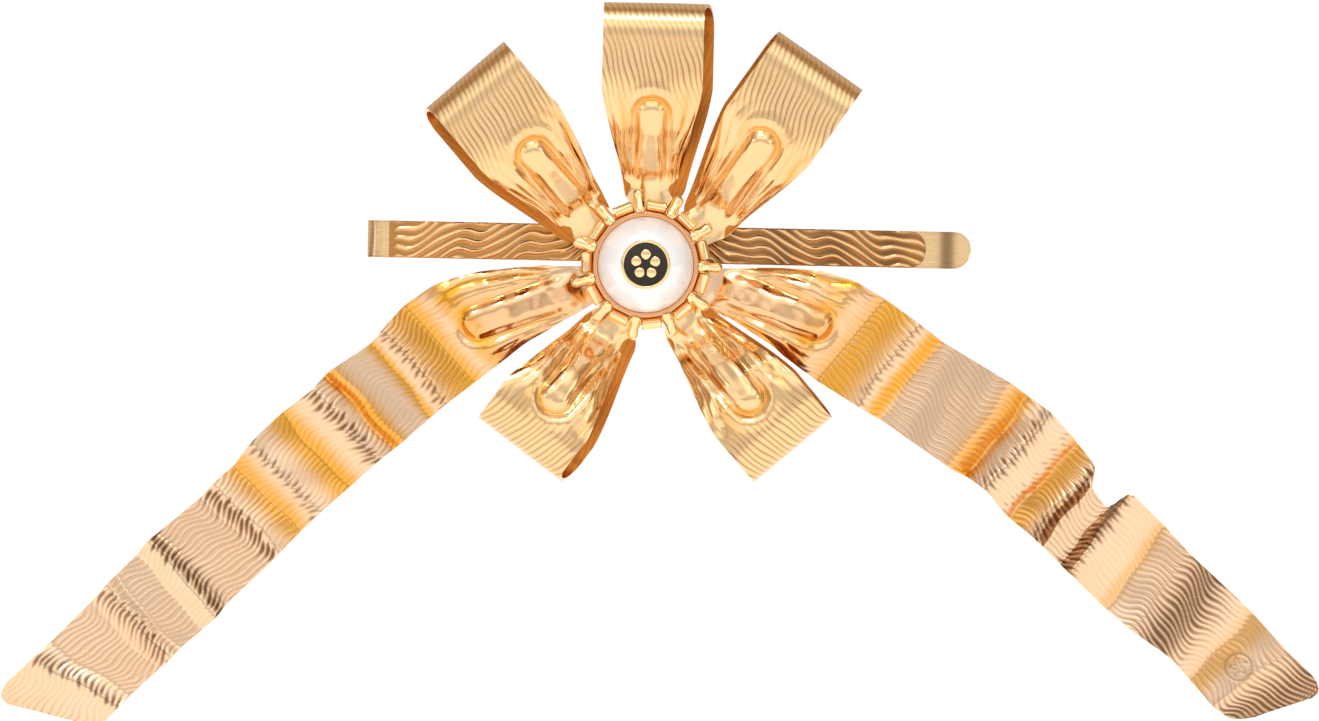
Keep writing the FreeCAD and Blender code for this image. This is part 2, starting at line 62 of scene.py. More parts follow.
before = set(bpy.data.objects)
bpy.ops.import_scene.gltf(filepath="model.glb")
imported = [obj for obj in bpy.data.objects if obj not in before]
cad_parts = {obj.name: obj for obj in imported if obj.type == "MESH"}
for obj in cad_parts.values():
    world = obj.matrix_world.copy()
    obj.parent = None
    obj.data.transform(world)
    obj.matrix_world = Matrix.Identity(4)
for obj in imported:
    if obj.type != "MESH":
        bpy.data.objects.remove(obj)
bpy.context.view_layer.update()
MM = 0.001
BODY = "slide"
LEG_BODY = "leg"


def middle(node):
    """The middle of a node's box, in millimetres."""
    low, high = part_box(node)
    return (low + high) / 2 / MM


def radius_of(node):
    """Half a node's width from left to right, in millimetres."""
    return (right_of(node) - left_of(node)) / 2


def left_of(node):
    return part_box(node)[0].x / MM


def right_of(node):
    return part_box(node)[1].x / MM


def width_of(node):
    """A clip piece's width across the bar, in millimetres."""
    low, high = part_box(node)
    return (high.z - low.z) / MM


def front_of(node):
    """How far a node's front lies before the grip gap's middle, in millimetres."""
    return -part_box(node)[0].y / MM


def back_of(node):
    """How far a node's back lies before the grip gap's middle, in millimetres."""
    return -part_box(node)[1].y / MM


BOW_MIDDLE = middle("pearl")
PLATE_FRONT = front_of("backing_plate")
CUP_BACK = front_of("tang_spacer")
PEARL_RADIUS = radius_of("pearl")
CUP_RADIUS = radius_of("pearl_cup")
SPRING_THICKNESS = 0.8
# The middle of the spring strip's metal lies this far from the grip gap's middle.
SPRING_MIDDLE = back_of("cover_bar") - SPRING_THICKNESS / 2
ARC_POINTS = 24

# Each loop: its direction in degrees, reach and sideways shift, how far its back strand shows at the
# right and at the left, where its embossed tongue ends, and its combed lines' slant and phase.
LOOPS = {
    "top_loop": (89.7, 30.2, -0.23, 1.2, 0.0, 18.7, 0.30, 0.0),
    "upper_left_loop": (131.6, 30.2, 1.58, 0.0, 1.1, 19.4, -0.25, 1.7),
    "upper_right_loop": (55.7, 30.9, -2.9, 0.0, 0.5, 20.4, 0.28, 3.1),
    "lower_left_loop": (234.2, 25.8, 0.95, 0.0, 1.1, 20.0, -0.22, 4.4),
    "lower_right_loop": (-48.8, 27.3, -0.8, 0.0, 0.4, 21.0, 0.24, 5.2),
}

# The rosette stamped on the right tail, as (along, across, radius).
ROSETTE = (82.3, 7.9, 1.7)

# Each tail: the tongue pressed into its neck as (along, across) ends; its combed lines' slant and
# phase; its painted orange-reflection bands and its painted shade bands as (along, reach before,
# reach after, strength); and its stations, each the outer edge (along, across), the inner edge
# (along, across) and the height before the plate.
TAILS = {
    "left_tail": {
        "direction": 224.1,
        "emboss": ((6.4, -2.9), (20.4, -9.0)),
        "slant": 0.05,
        "phase": 0.7,
        "warm": (
            (19.8, 1.4, 1.4, 0.5), (23.9, 1.8, 3.6, 1.0), (29.6, 0.7, 0.9, 0.95), (35.2, 1.5, 1.1, 1.0),
            (42.8, 2.0, 2.1, 1.0), (50.3, 1.9, 2.0, 0.9),
        ),
        "dark": (
            (27.7, 0.6, 0.5, 0.85), (38.1, 0.8, 1.0, 0.95), (47.3, 0.4, 0.6, 0.8), (54.1, 0.5, 1.8, 1.0),
            (63.2, 1.7, 0.5, 1.0), (71.0, 0.3, 1.8, 0.9), (80.6, 1.1, 0.6, 0.9), (87.0, 3.0, 3.0, 0.25),
        ),
        "stations": (
            (3.6, -3.2, 4.8, -0.5, 0.3),
            (6.2, -5.6, 8.2, -1.0, 0.5),
            (9.8, -8.8, 11.4, -1.8, 2.4),
            (14.8, -12.5, 16.0, -2.9, 3.7),
            (19.3, -14.9, 20.0, -3.2, 3.9),
            (23.6, -15.6, 23.8, -3.5, 2.6),
            (27.4, -15.2, 27.9, -3.9, 4.9),
            (29.2, -14.9, 29.8, -4.0, 3.6),
            (34.8, -15.8, 34.4, -4.1, 4.5),
            (35.8, -15.9, 35.6, -4.2, 3.5),
            (38.1, -15.6, 38.0, -4.4, 5.1),
            (42.6, -16.1, 42.5, -4.5, 3.4),
            (47.2, -16.0, 47.5, -4.6, 5.0),
            (50.4, -15.4, 50.3, -4.6, 3.5),
            (53.7, -15.5, 53.6, -4.4, 5.3),
            (55.6, -15.3, 55.4, -4.3, 4.0),
            (62.3, -15.7, 62.3, -4.3, 4.3),
            (63.9, -15.8, 63.9, -3.9, 5.4),
            (65.8, -15.5, 65.7, -4.0, 4.1),
            (69.4, -15.4, 69.7, -4.2, 4.4),
            (71.0, -15.3, 71.2, -4.0, 5.5),
            (73.0, -15.1, 73.0, -4.1, 4.2),
            (80.0, -14.9, 77.6, -4.1, 4.3),
            (82.4, -14.9, 79.4, -4.0, 5.3),
            (89.6, -14.9, 82.6, -3.9, 4.2),
        ),
    },
    "right_tail": {
        "direction": -38.5,
        "emboss": ((6.6, 3.2), (21.3, 7.9)),
        "slant": -0.08,
        "phase": 2.9,
        "warm": (
            (19.8, 1.4, 1.4, 0.4), (25.6, 3.0, 2.8, 1.0), (31.0, 1.1, 1.2, 1.0), (43.4, 2.2, 1.4, 0.95),
            (52.0, 1.5, 2.0, 0.9), (65.6, 0.9, 0.9, 0.5), (80.4, 1.6, 1.4, 0.65),
        ),
        "dark": (
            (28.9, 0.6, 0.5, 0.6), (36.8, 5.0, 4.5, 0.25), (46.6, 0.6, 0.9, 0.85), (50.1, 0.3, 0.3, 0.5),
            (54.9, 1.0, 0.9, 1.0), (59.6, 0.9, 1.0, 1.0), (73.2, 3.9, 3.7, 1.0), (88.0, 4.0, 9.0, 1.0),
        ),
        "stations": (
            (3.8, 3.1, 4.8, 0.3, 0.3),
            (7.6, 5.7, 8.8, 0.7, 0.5),
            (12.1, 9.5, 12.0, 1.6, 2.4),
            (16.0, 12.3, 16.2, 2.1, 3.7),
            (20.0, 14.0, 20.6, 2.2, 4.0),
            (23.8, 14.6, 23.7, 2.3, 2.7),
            (28.9, 14.9, 29.2, 3.0, 5.1),
            (32.0, 15.0, 31.9, 3.5, 3.6),
            (41.5, 16.4, 41.8, 4.3, 4.9),
            (43.8, 16.5, 44.0, 4.8, 3.2),
            (46.8, 16.7, 46.9, 5.0, 5.3),
            (50.2, 16.2, 50.2, 4.3, 4.1),
            (51.4, 16.0, 51.2, 4.3, 3.3),
            (54.9, 15.2, 54.4, 4.3, 5.5),
            (55.6, 13.2, 55.9, 4.2, 3.6),
            (59.2, 12.2, 58.9, 3.9, 3.4),
            (59.8, 15.5, 60.3, 3.8, 5.5),
            (65.6, 15.0, 66.2, 3.3, 3.9),
            (69.4, 14.4, 70.2, 3.3, 5.2),
            (74.8, 14.1, 75.6, 3.7, 4.9),
            (79.4, 13.8, 79.0, 3.2, 3.8),
            (85.4, 12.9, 83.0, 2.5, 5.0),
            (92.3, 12.4, 86.2, 2.8, 3.8),
        ),
    },
}


# ---------------------------------------------------------------- properties


class RibbonSizes(bpy.types.PropertyGroup):
    """Sizes shared by the seven ribbons, in millimetres"""

    width: FloatProperty(name="Width", description="Full width of a ribbon", default=11.6)
    thickness: FloatProperty(name="Thickness", description="Thickness of the metal", default=0.42)
    collar_width: FloatProperty(
        name="Collar width", description="Width of a loop beside the collar", default=5.6
    )
    loop_depth: FloatProperty(
        name="Loop depth", description="Distance between a loop's two strands", default=7.4
    )
    line_pitch: FloatProperty(
        name="Line pitch", description="Spacing of the combed lines", default=0.66
    )
    line_depth: FloatProperty(
        name="Line depth", description="Depth of the combed lines", default=0.075
    )
    groove_depth: FloatProperty(
        name="Groove depth", description="Depth of the groove round the embossed tongue", default=0.6
    )
    corner: FloatProperty(name="End corner", description="Rounding of the tails' ends", default=2.3)
    step_along: FloatProperty(
        name="Step along", description="Mesh spacing along a ribbon", default=0.24
    )
    step_across: FloatProperty(
        name="Step across", description="Mesh spacing across a ribbon", default=0.115
    )


class ClipSizes(bpy.types.PropertyGroup):
    """Sizes of the spring clip's finish, in millimetres"""

    ridge_pitch: FloatProperty(
        name="Ridge pitch", description="Spacing of the engraved ridges", default=1.05
    )
    ridge_height: FloatProperty(
        name="Ridge height", description="Height of the engraved ridges", default=0.14
    )


class CollarSizes(bpy.types.PropertyGroup):
    """Sizes of the collar of claws and bars, in millimetres"""

    count: IntProperty(name="Claws", description="Claws round the pearl", default=11, min=3)
    start_angle: FloatProperty(
        name="First claw", description="Direction of the first claw, in degrees", default=97.0
    )
    claw_radius: FloatProperty(
        name="Claw radius", description="Thickness of a claw, halved", default=0.68
    )
    bar_radius: FloatProperty(
        name="Bar radius", description="Thickness of a collar bar, halved", default=0.72
    )
    bar_length: FloatProperty(
        name="Bar length", description="Length of a collar bar round the cup", default=2.3
    )


class Colours(bpy.types.PropertyGroup):
    """Main colours of the finishes"""

    gold: FloatVectorProperty(
        name="Gold", description="Colour of the plating", subtype="COLOR", default=(0.87, 0.605, 0.33)
    )
    pale_gold: FloatVectorProperty(
        name="Pale gold", description="Colour of the tails", subtype="COLOR", default=(0.85, 0.60, 0.41)
    )
    # Deep gold stands for painted orange reflection and shade in grooves, creases and bands, and also for
    # the colour of cloudy wear.
    deep_gold: FloatVectorProperty(
        name="Deep gold",
        description="Colour of the plating in grooves and inside the loops",
        subtype="COLOR",
        default=(0.76, 0.35, 0.03),
    )
    pearl: FloatVectorProperty(
        name="Pearl", description="Colour of the pearl", subtype="COLOR", default=(0.90, 0.91, 0.94)
    )
    enamel: FloatVectorProperty(
        name="Enamel", description="Colour of the enamel", subtype="COLOR", default=(0.012, 0.01, 0.01)
    )
    floor: FloatVectorProperty(
        name="Floor", description="Colour of the floor", subtype="COLOR", default=(0.95, 0.95, 0.95)
    )


def sizes(name):
    """The scene's own copy of a property group."""
    return getattr(bpy.context.scene, "hair_slide_" + name)


# ------------------------------------------------------------------ geometry


def bow_matrix(direction, sideways=0.0):
    """Takes (along, across, forward) in millimetres to the frame, in metres."""
    angle = math.radians(direction)
    along = Vector((math.cos(angle), 0, math.sin(angle)))
    across = Vector((-math.sin(angle), 0, math.cos(angle)))
    forward = Vector((0, -1, 0))
    origin = Vector((BOW_MIDDLE.x, 0, BOW_MIDDLE.z)) + across * sideways
    turn = Matrix((along, across, forward)).transposed().to_4x4()
    return Matrix.Scale(MM, 4) @ Matrix.Translation(origin) @ turn


def corner_arc(before, here, after, radius):
    """Points of the arc that rounds off the corner at here."""
    arrive = (here - before) / np.linalg.norm(here - before)
    leave = (after - here) / np.linalg.norm(after - here)
    turn = math.atan2(arrive[0] * leave[1] - arrive[1] * leave[0], arrive @ leave)
    side = np.array((-arrive[1], arrive[0])) * math.copysign(radius, turn)
    centre = here - arrive * radius * math.tan(abs(turn) / 2) + side
    angles = turn * np.linspace(0, 1, ARC_POINTS)
    return centre - np.outer(np.cos(angles), side) - np.outer(np.sin(angles), (-side[1], side[0]))


def distances(points):
    """How far along a line each of its points lies."""
    return np.concatenate(([0], np.cumsum(np.linalg.norm(np.diff(points, axis=0), axis=1))))


def rounded_path(corners, step):
    """Even points along straight runs through (x, y, radius) corners, and how far along each is."""
    ends = np.array(corners, float)[:, :2]
    arcs = [corner_arc(*ends[k - 1:k + 2], corners[k][2]) for k in range(1, len(corners) - 1)]
    points = np.concatenate([ends[:1], *arcs, ends[-1:]])
    runs = np.linalg.norm(np.diff(points, axis=0), axis=1)
    points = points[np.concatenate(([True], runs > 1e-6))]
    length = distances(points)
    spots = np.linspace(0, length[-1], max(2, int(round(length[-1] / step)) + 1))
    return np.stack([np.interp(spots, length, points[:, k]) for k in (0, 1)], 1), spots


def smooth_step(x, low, high):
    """0 below low and 1 above high, with an easy rise between them."""
    t = np.clip((x - low) / (high - low), 0, 1)
    return t * t * (3 - 2 * t)


def surface_normals(points):
    """Unit normals of a grid of points, along its rows and then its columns."""
    down = np.gradient(points, axis=0)
    over = np.gradient(points, axis=1)
    normal = np.cross(down, over)
    return normal / np.maximum(np.linalg.norm(normal, axis=2, keepdims=True), 1e-12)


def grid_faces(rows, columns, start, flip):
    """Quads of a grid of vertices numbered row by row from start."""
    i, j = np.meshgrid(np.arange(rows - 1), np.arange(columns - 1), indexing="ij")
    a = start + i * columns + j
    quads = np.stack([a, a + columns, a + columns + 1, a + 1], -1).reshape(-1, 4)
    return quads[:, ::-1] if flip else quads


def rim_faces(rows, columns, start):
    """Quads that close the edge between two equal grids, the second numbered from start."""
    top = np.arange(columns)
    bottom = (rows - 1) * columns + top
    left = np.arange(rows) * columns
    right = left + columns - 1
    loop = np.concatenate([top[:-1], right[:-1], bottom[:0:-1], left[:0:-1]])
    ahead = np.roll(loop, -1)
    return np.stack([loop, ahead, ahead + start, loop + start], -1)


def plain_mesh(name, vertices, faces):
    mesh = bpy.data.meshes.new(name)
    mesh.from_pydata(vertices, [], faces)
    return mesh


def add_object(name, data):
    """An object in the scene, at the origin."""
    piece = bpy.data.objects.new(name, data)
    bpy.context.scene.collection.objects.link(piece)
    return piece


def finish_piece(name, mesh, body, node, sharp_angle):
    """A piece at the origin that stands for a node, shaded smooth but for edges over an angle."""
    mesh.polygons.foreach_set("use_smooth", [True] * len(mesh.polygons))
    mesh.set_sharp_from_angle(angle=math.radians(sharp_angle))
    piece = add_object(name, mesh)
    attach(piece, body)
    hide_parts(node)
    return piece


def add_attribute(mesh, name, values):
    layer = mesh.attributes.new(name, "FLOAT", "POINT")
    layer.data.foreach_set("value", np.asarray(values, np.float32).ravel())


def add_sheet_map(mesh, along, across):
    """A UV map that follows the strip, one unit to the centimetre."""
    layer = mesh.uv_layers.new(name="StripMap")
    spots = np.empty(len(mesh.loops), np.int32)
    mesh.loops.foreach_get("vertex_index", spots)
    pairs = np.stack([np.tile(along.ravel(), 2), np.tile(across.ravel(), 2)], 1) * 0.1
    layer.data.foreach_set("uv", pairs[spots].astype(np.float32).ravel())


def strip_piece(name, node, grid, thickness, relief, matrix, finishes, marks, body=BODY):
    """A strip of metal with relief on its front face; grid is its mid-surface, marks its tones."""
    normal = surface_normals(grid)
    outer = grid + normal * (thickness / 2 + relief[..., None])
    inner = grid - normal * (thickness / 2)
    rows, columns, _ = grid.shape
    count = rows * columns
    turn = np.array(matrix.to_3x3())
    shift = np.array(matrix.translation)
    vertices = np.concatenate([outer.reshape(-1, 3), inner.reshape(-1, 3)]) @ turn.T + shift
    front = grid_faces(rows, columns, 0, False)
    back = grid_faces(rows, columns, count, True)
    rim = rim_faces(rows, columns, count)[:, ::-1]
    mesh = plain_mesh(name, vertices.tolist(), np.concatenate([front, back, rim]).tolist())
    for finish in finishes:
        mesh.materials.append(material(finish))
    if len(finishes) > 1:
        which = np.repeat((0, 1, 0), (len(front), len(back), len(rim)))
        mesh.polygons.foreach_set("material_index", which.astype(np.int32))
    along = np.cumsum(np.linalg.norm(np.diff(grid, axis=0, prepend=grid[:1]), axis=2), axis=0)
    across = np.cumsum(np.linalg.norm(np.diff(grid, axis=1, prepend=grid[:, :1]), axis=2), axis=1)
    add_sheet_map(mesh, along, across)
    for label, values in marks.items():
        add_attribute(mesh, label, np.tile(values.ravel(), 2))
    return finish_piece(name, mesh, body, node, 50)


def lathe(profile, segments, matrix):
    """Vertices and faces of an (outwards, forward) profile turned about the forward axis."""
    angles = np.linspace(0, 2 * math.pi, segments, endpoint=False)
    vertices, rings = [], []
    for radius, height in profile:
        if radius < 1e-6:
            rings.append([len(vertices)])
            vertices.append((0, 0, height))
            continue
        rings.append(list(range(len(vertices), len(vertices) + segments)))
        vertices += [(radius * math.cos(a), radius * math.sin(a), height) for a in angles]
    faces = []
    for low, high in zip(rings, rings[1:]):
        for k in range(segments):
            n = (k + 1) % segments
            if len(low) == 1:
                faces.append((low[0], high[n], high[k]))
            elif len(high) == 1:
                faces.append((low[k], low[n], high[0]))
            else:
                faces.append((low[k], low[n], high[n], high[k]))
    return [tuple(matrix @ Vector(v)) for v in vertices], faces


def rounded_profile(corners, step=0.06):
    """A lathe profile along straight runs through (outwards, forward, radius) corners."""
    points, _ = rounded_path(corners, step)
    return [tuple(p) for p in points]


def turned_piece(name, node, profile, finish, sides):
    """A lathe-turned piece; its profile runs from its back middle to its front middle."""
    mesh = plain_mesh(name, *lathe(profile, sides, bow_matrix(0)))
    mesh.materials.append(material(finish))
    return finish_piece(name, mesh, BODY, node, 40)


# ------------------------------------------------------------------- ribbons


# How deeply the necks are dented; those of the loops below the pearl are dented more.
UPPER_LOOP_DENTS = 0.5
LOWER_LOOP_DENTS = 1.3
TAIL_DENTS = 1.3

# Half the width of the tongues pressed into the necks.
LOOP_TONGUE = 1.7
TAIL_TONGUE = 1.8

# How far the combed lines sway, in millimetres.
LOOP_SWAY = 0.14
TAIL_SWAY = 0.6

# A loop's two strands start this far from the middle of the pearl, one before the other.
LOOP_START = 5.2
STRAND_GAP = 0.5

# A loop's back strand lies this far before the plate.
BACK_STRAND = 0.75

# Where a tail's tongue starts, from the middle of the pearl.
TONGUE_START = 7.0

# Spacing of a tail's smoothed stations.
FINE_STEP = 0.05


def tongue_relief(along, across, arch, half, groove):
    """A flat tongue with a rounded end at arch, raised a little inside a round-bottomed groove."""
    past = np.maximum(along - (arch - half), 0)
    distance = np.hypot(past, across) - half
    fade = smooth_step(along, 7.5, 15)
    channel = -groove * np.exp(-((distance - 0.25) / 0.68) ** 2)
    raised = groove * 0.3 * (1 - smooth_step(distance, -1.2, 0.2))
    lip = groove * 0.22 * np.exp(-((distance - 1.4) / 0.6) ** 2)
    return (channel + raised + lip) * (0.25 + 0.75 * fade), distance


def line_turn(along, across, slant, sway, phase):
    """How many turns of the combed pattern lie between the middle line and each point."""
    wave = sway * np.sin(along * 0.66 + phase)
    ripple = 0.4 * sway * np.sin(along * 1.43 + across * 0.4 + 2 * phase)
    drift = 0.09 * np.sin(across * 1.9 + along * 0.23 + phase * 3)
    return (across - slant * along + wave + ripple + drift) / sizes("ribbon").line_pitch


def grooves(turn, sharpness):
    """1 in the bottom of the combed grooves and 0 on the ridges between them."""
    return (0.5 + 0.5 * np.cos(2 * math.pi * turn)) ** sharpness


def ragged(place, turn):
    """The place along a strip, pushed about line by line so that bands end in strokes."""
    line = np.round(turn)
    return place + 0.34 * np.sin(line * 2.4) + 0.22 * np.sin(line * 5.9 + 1)


def banded(place, bands):
    """The strongest of soft bands, each (middle, reach before, reach after, strength)."""
    total = np.zeros_like(place)
    for centre, before, after, strength in bands:
        reach = np.where(place < centre, before, after)
        total = np.maximum(total, strength * np.exp(-np.abs((place - centre) / reach) ** 3))
    return total


def flutes(along, side, phase):
    """Creases that run out from the collar, with their depth from 0 to 1."""
    wander = 0.25 * np.sin(along * 0.4 + phase) + 0.12 * np.sin(along * 0.9 + 2 * phase)
    crease = (0.5 + 0.5 * np.cos(2 * math.pi * (side * 1.55 + wander * 0.6) + phase)) ** 4
    fine = (0.5 + 0.5 * np.cos(2 * math.pi * (side * 4.3 + wander) + 2 * phase)) ** 3
    return 0.7 * crease + 0.45 * fine


def neck_creases(along, side, phase, neck, distance):
    """The creases of a neck, which stay outside its tongue."""
    return flutes(along, side, phase) * neck * smooth_step(distance, 0.3, 1.4)


def tongue_groove(along, distance):
    """1 in the groove round a tongue, where the plating is painted deepest orange as reflection and shade.
    """
    return np.exp(-((distance - 0.2) / 0.45) ** 2) * smooth_step(along, 8, 13)


def crumple(along, across, phase):
    """Shallow dents, in millimetres, like those of pressed foil."""
    first = np.sin(along * 0.9 + across * 0.7 + phase) * np.sin(across * 1.2 - along * 0.3 + 2 * phase)
    second = np.sin(along * 1.7 - across * 1.1 + 3 * phase) * np.sin(across * 0.8 + along * 0.9)
    return 0.10 * first + 0.05 * second


def loop_path(label):
    """A loop's side view as (along, forward), its stations and how far round the fold they are.

    The strip runs out from the collar, rises to its front, folds over at the tip and runs back.
    """
    ribbon = sizes("ribbon")
    reach = LOOPS[label][1]
    low = PLATE_FRONT + BACK_STRAND
    high = low + ribbon.loop_depth
    tip = reach - ribbon.thickness / 2
    corners = [
        (LOOP_START, low + STRAND_GAP, 0),
        (9.7, low + 0.55, 3.5),
        (17.8, high - 0.25, 10),
        (tip, high, 3.55),
        (tip, low, 3.3),
        (LOOP_START, low, 0),
    ]
    path, spots = rounded_path(corners, ribbon.step_along)
    far = spots[int(np.argmax(path[:, 0]))]
    return path, spots, smooth_step(spots, far - 3.0, far + 5.0)


def loop_plan(x, around, right, left):
    """Half width at each station, and a grid of places across it."""
    ribbon = sizes("ribbon")
    base = ribbon.collar_width / 2
    swell = smooth_step(x, 7.0, 20.5) * 0.5 + np.clip((x - 8.3) / 12.2, 0, 1) * 0.5
    width = base + (ribbon.width / 2 - base) * swell
    width = 1.5 + (width - 1.5) * smooth_step(x, 5.5, 8.4)
    show = around * smooth_step(x, 5.5, 9)
    low_edge, high_edge = -width - right * show, width + left * show
    share = np.linspace(0, 1, int(round(ribbon.width / ribbon.step_across)) + 1)[None, :]
    return width, low_edge[:, None] * (1 - share) + high_edge[:, None] * share


def loop_lift(label, phase, along, across, side, front, neck):
    """How far a loop's face stands off its plain fold, apart from its tongue and creases."""
    dent = LOWER_LOOP_DENTS if label.startswith("lower") else UPPER_LOOP_DENTS
    crown = 0.9 * np.clip(np.abs(side), 0, 1.2) ** 2.4
    face = neck * (crumple(along, across, phase) * dent - crown)
    swell = 0.13 * np.sin(along * 0.5 + across * 0.3) * smooth_step(along, 8, 14)
    return front * face + (1 - front) * swell


def loop_tones(along, front, arch, ring, crease, groove, comb):
    """The painted orange reflection, painted shade and polish of a loop's plating."""
    strong = 0.35 + 0.65 * smooth_step(along, arch - 3.0, arch - 0.5)
    # Painted orange reflection in the groove round the tongue, in the neck's creases and in the combed
    # grooves.
    warm = front * (0.8 * ring * strong + 0.6 * crease) + 0.25 * groove
    near = smooth_step(along, arch, arch + 2.5) * (1 - smooth_step(along, arch + 4.5, arch + 7.5))
    # Painted shade darkens the combed grooves, more so just past the tongue's end on the front.
    painted_shade = groove * (0.30 + 0.35 * near * front)
    return {"warm": np.clip(warm, 0, 1), "painted_shade": painted_shade, "polish": 1 - comb}


def make_loop(label):
    """One folded loop: a strip with combed lines and a tongue pressed into its neck."""
    ribbon = sizes("ribbon")
    direction, _, sideways, right, left, arch, slant, phase = LOOPS[label]
    path, spots, around = loop_path(label)
    width, across = loop_plan(path[:, 0], around, right, left)
    along, height, run = (np.repeat(c[:, None], across.shape[1], 1) for c in (*path.T, spots))
    front = 1 - around[:, None]
    side = across / width[:, None]
    tongue, distance = tongue_relief(along, across, arch, LOOP_TONGUE, ribbon.groove_depth)
    neck = smooth_step(along, 6.2, 9.0) * (1 - smooth_step(along, arch - 3.0, arch + 3.5))
    crease = neck_creases(along, side, phase, neck, distance)
    pressed = tongue * smooth_step(along, 7.0, 9.5) - 0.18 * crease
    lift = front * pressed + loop_lift(label, phase, along, across, side, front, neck)
    points = np.stack([along, across, height], 2) + outward(path)[:, None, :] * lift[..., None]
    comb = smooth_step(along, arch - 2.0, arch + 3.0) * smooth_step(distance, 0.8, 2.2)
    comb = comb * front + (1 - front) * 0.8
    groove = grooves(line_turn(run, across, slant, LOOP_SWAY, phase), 4.6) * comb
    ring = tongue_groove(along, distance)
    # Front faces take the plating; inner faces take its darker copy, painted with the shade inside the fold.
    return strip_piece(
        label + "_ribbon", label, points, ribbon.thickness, -groove * ribbon.line_depth * 0.32,
        bow_matrix(direction, sideways), ("ribbon_plating", "ribbon_inside_painted_shade"),
        loop_tones(along, front, arch, ring, crease, groove, comb),
    )


def outward(path):
    """Unit normals of a side view, as (along, across, forward)."""
    tangent = np.gradient(path, axis=0)
    tangent /= np.linalg.norm(tangent, axis=1, keepdims=True)
    return np.stack([-tangent[:, 1], np.zeros(len(path)), tangent[:, 0]], 1)


def soften(table, spacing, spread):
    """Smooths each column of evenly spaced rows with a bell of the given spread."""
    reach = int(math.ceil(3 * spread / spacing))
    bell = np.exp(-0.5 * (np.arange(-reach, reach + 1) * spacing / spread) ** 2)
    bell /= bell.sum()
    before = 2 * table[:1] - table[reach:0:-1]
    after = 2 * table[-1:] - table[-2:-reach - 2:-1]
    padded = np.concatenate([before, table, after])
    return np.stack([np.convolve(padded[:, k], bell, "valid") for k in range(table.shape[1])], 1)


def tail_stations(label):
    """Smoothed stations at an even spacing down a tail, and how far down each one is."""
    stations = np.array(TAILS[label]["stations"], float)
    length = distances((stations[:, 0:2] + stations[:, 2:4]) / 2)
    fine = np.arange(0, length[-1] + 1e-9, FINE_STEP)
    table = np.stack([np.interp(fine, length, stations[:, k]) for k in range(5)], 1)
    table[:, :4] = soften(table[:, :4], FINE_STEP, 0.5)
    table[:, 4:] = soften(table[:, 4:], FINE_STEP, 0.14)
    return fine, table


def tail_grid(label):
    """A tail's plan and height, row by row, with its two end corners rounded off."""
    ribbon = sizes("ribbon")
    fine, table = tail_stations(label)
    total = fine[-1]
    spots = np.linspace(0, total, int(round(total / ribbon.step_along)) + 1)
    rows = np.stack([np.interp(spots, fine, table[:, k]) for k in range(5)], 1)
    corner = ribbon.corner
    past = np.clip((spots - (total - corner)) / corner, 0, 1)
    inset = corner * (1 - np.sqrt(1 - np.minimum(past, 0.995) ** 2)) / ribbon.width
    share = np.linspace(0, 1, int(round(ribbon.width / ribbon.step_across)) + 1)[None, :]
    share = inset[:, None] + share * (1 - 2 * inset[:, None])
    along = rows[:, 0:1] * (1 - share) + rows[:, 2:3] * share
    across = rows[:, 1:2] * (1 - share) + rows[:, 3:4] * share
    run = np.repeat(spots[:, None], share.shape[1], 1)
    wobble = 0.22 * np.sin(share * 5.0 + run * 0.21) + 0.12 * np.sin(share * 11 + run * 0.5)
    shifted = np.clip(run + wobble * smooth_step(run, 20, 26), 0, total)
    height = np.interp(shifted, fine, table[:, 4])
    place = np.repeat(((rows[:, 0] + rows[:, 2]) / 2)[:, None], share.shape[1], 1)
    return along, across, run, height, share, place


def rosette(along, across):
    """A small stamped mark: a ring and five petals. Gives its depth and the disc it clears."""
    middle_x, middle_y, radius = ROSETTE
    x, y = along - middle_x, across - middle_y
    distance, angle = np.hypot(x, y), np.arctan2(y, x)
    ring = np.exp(-((distance - radius * 0.9) / 0.16) ** 2)
    petal = radius * (0.42 + 0.2 * np.cos(5 * angle))
    edge = np.exp(-((distance - petal) / 0.15) ** 2)
    return np.maximum(ring, edge), 1 - smooth_step(distance, radius, radius + 0.3)


def tongue_axes(ends, along, across):
    """Places down and across a tail's own tongue, and where the tongue ends."""
    start, end = (np.array(p) for p in ends)
    length = float(np.linalg.norm(end - start))
    axis = (end - start) / length
    from_start = np.stack([along - start[0], across - start[1]], -1)
    down = from_start @ axis + TONGUE_START
    return down, from_start @ np.array((-axis[1], axis[0])), length + TONGUE_START


def tail_lift(down, across, side, neck, tongue, crease, phase):
    """What the tongue, creases and dents of a tail's neck add to its height."""
    pressed = tongue * smooth_step(down, 7.2, 10) - 0.15 * crease
    return pressed + neck * (TAIL_DENTS * crumple(down, across, phase) - np.abs(side) ** 2.2)


def tail_warmth(bands, place, uneven, turn, ring, crease, neck):
    """How far a tail's plating is painted deep orange as reflection and shade: its orange bands, and the
    folds of its neck.
    """
    zones = banded(place + 0.3 * (uneven - place), bands) * (0.75 + 0.25 * grooves(turn, 1.0))
    return np.clip(zones + 0.35 * ring + 0.6 * crease + 0.3 * neck, 0, 1)


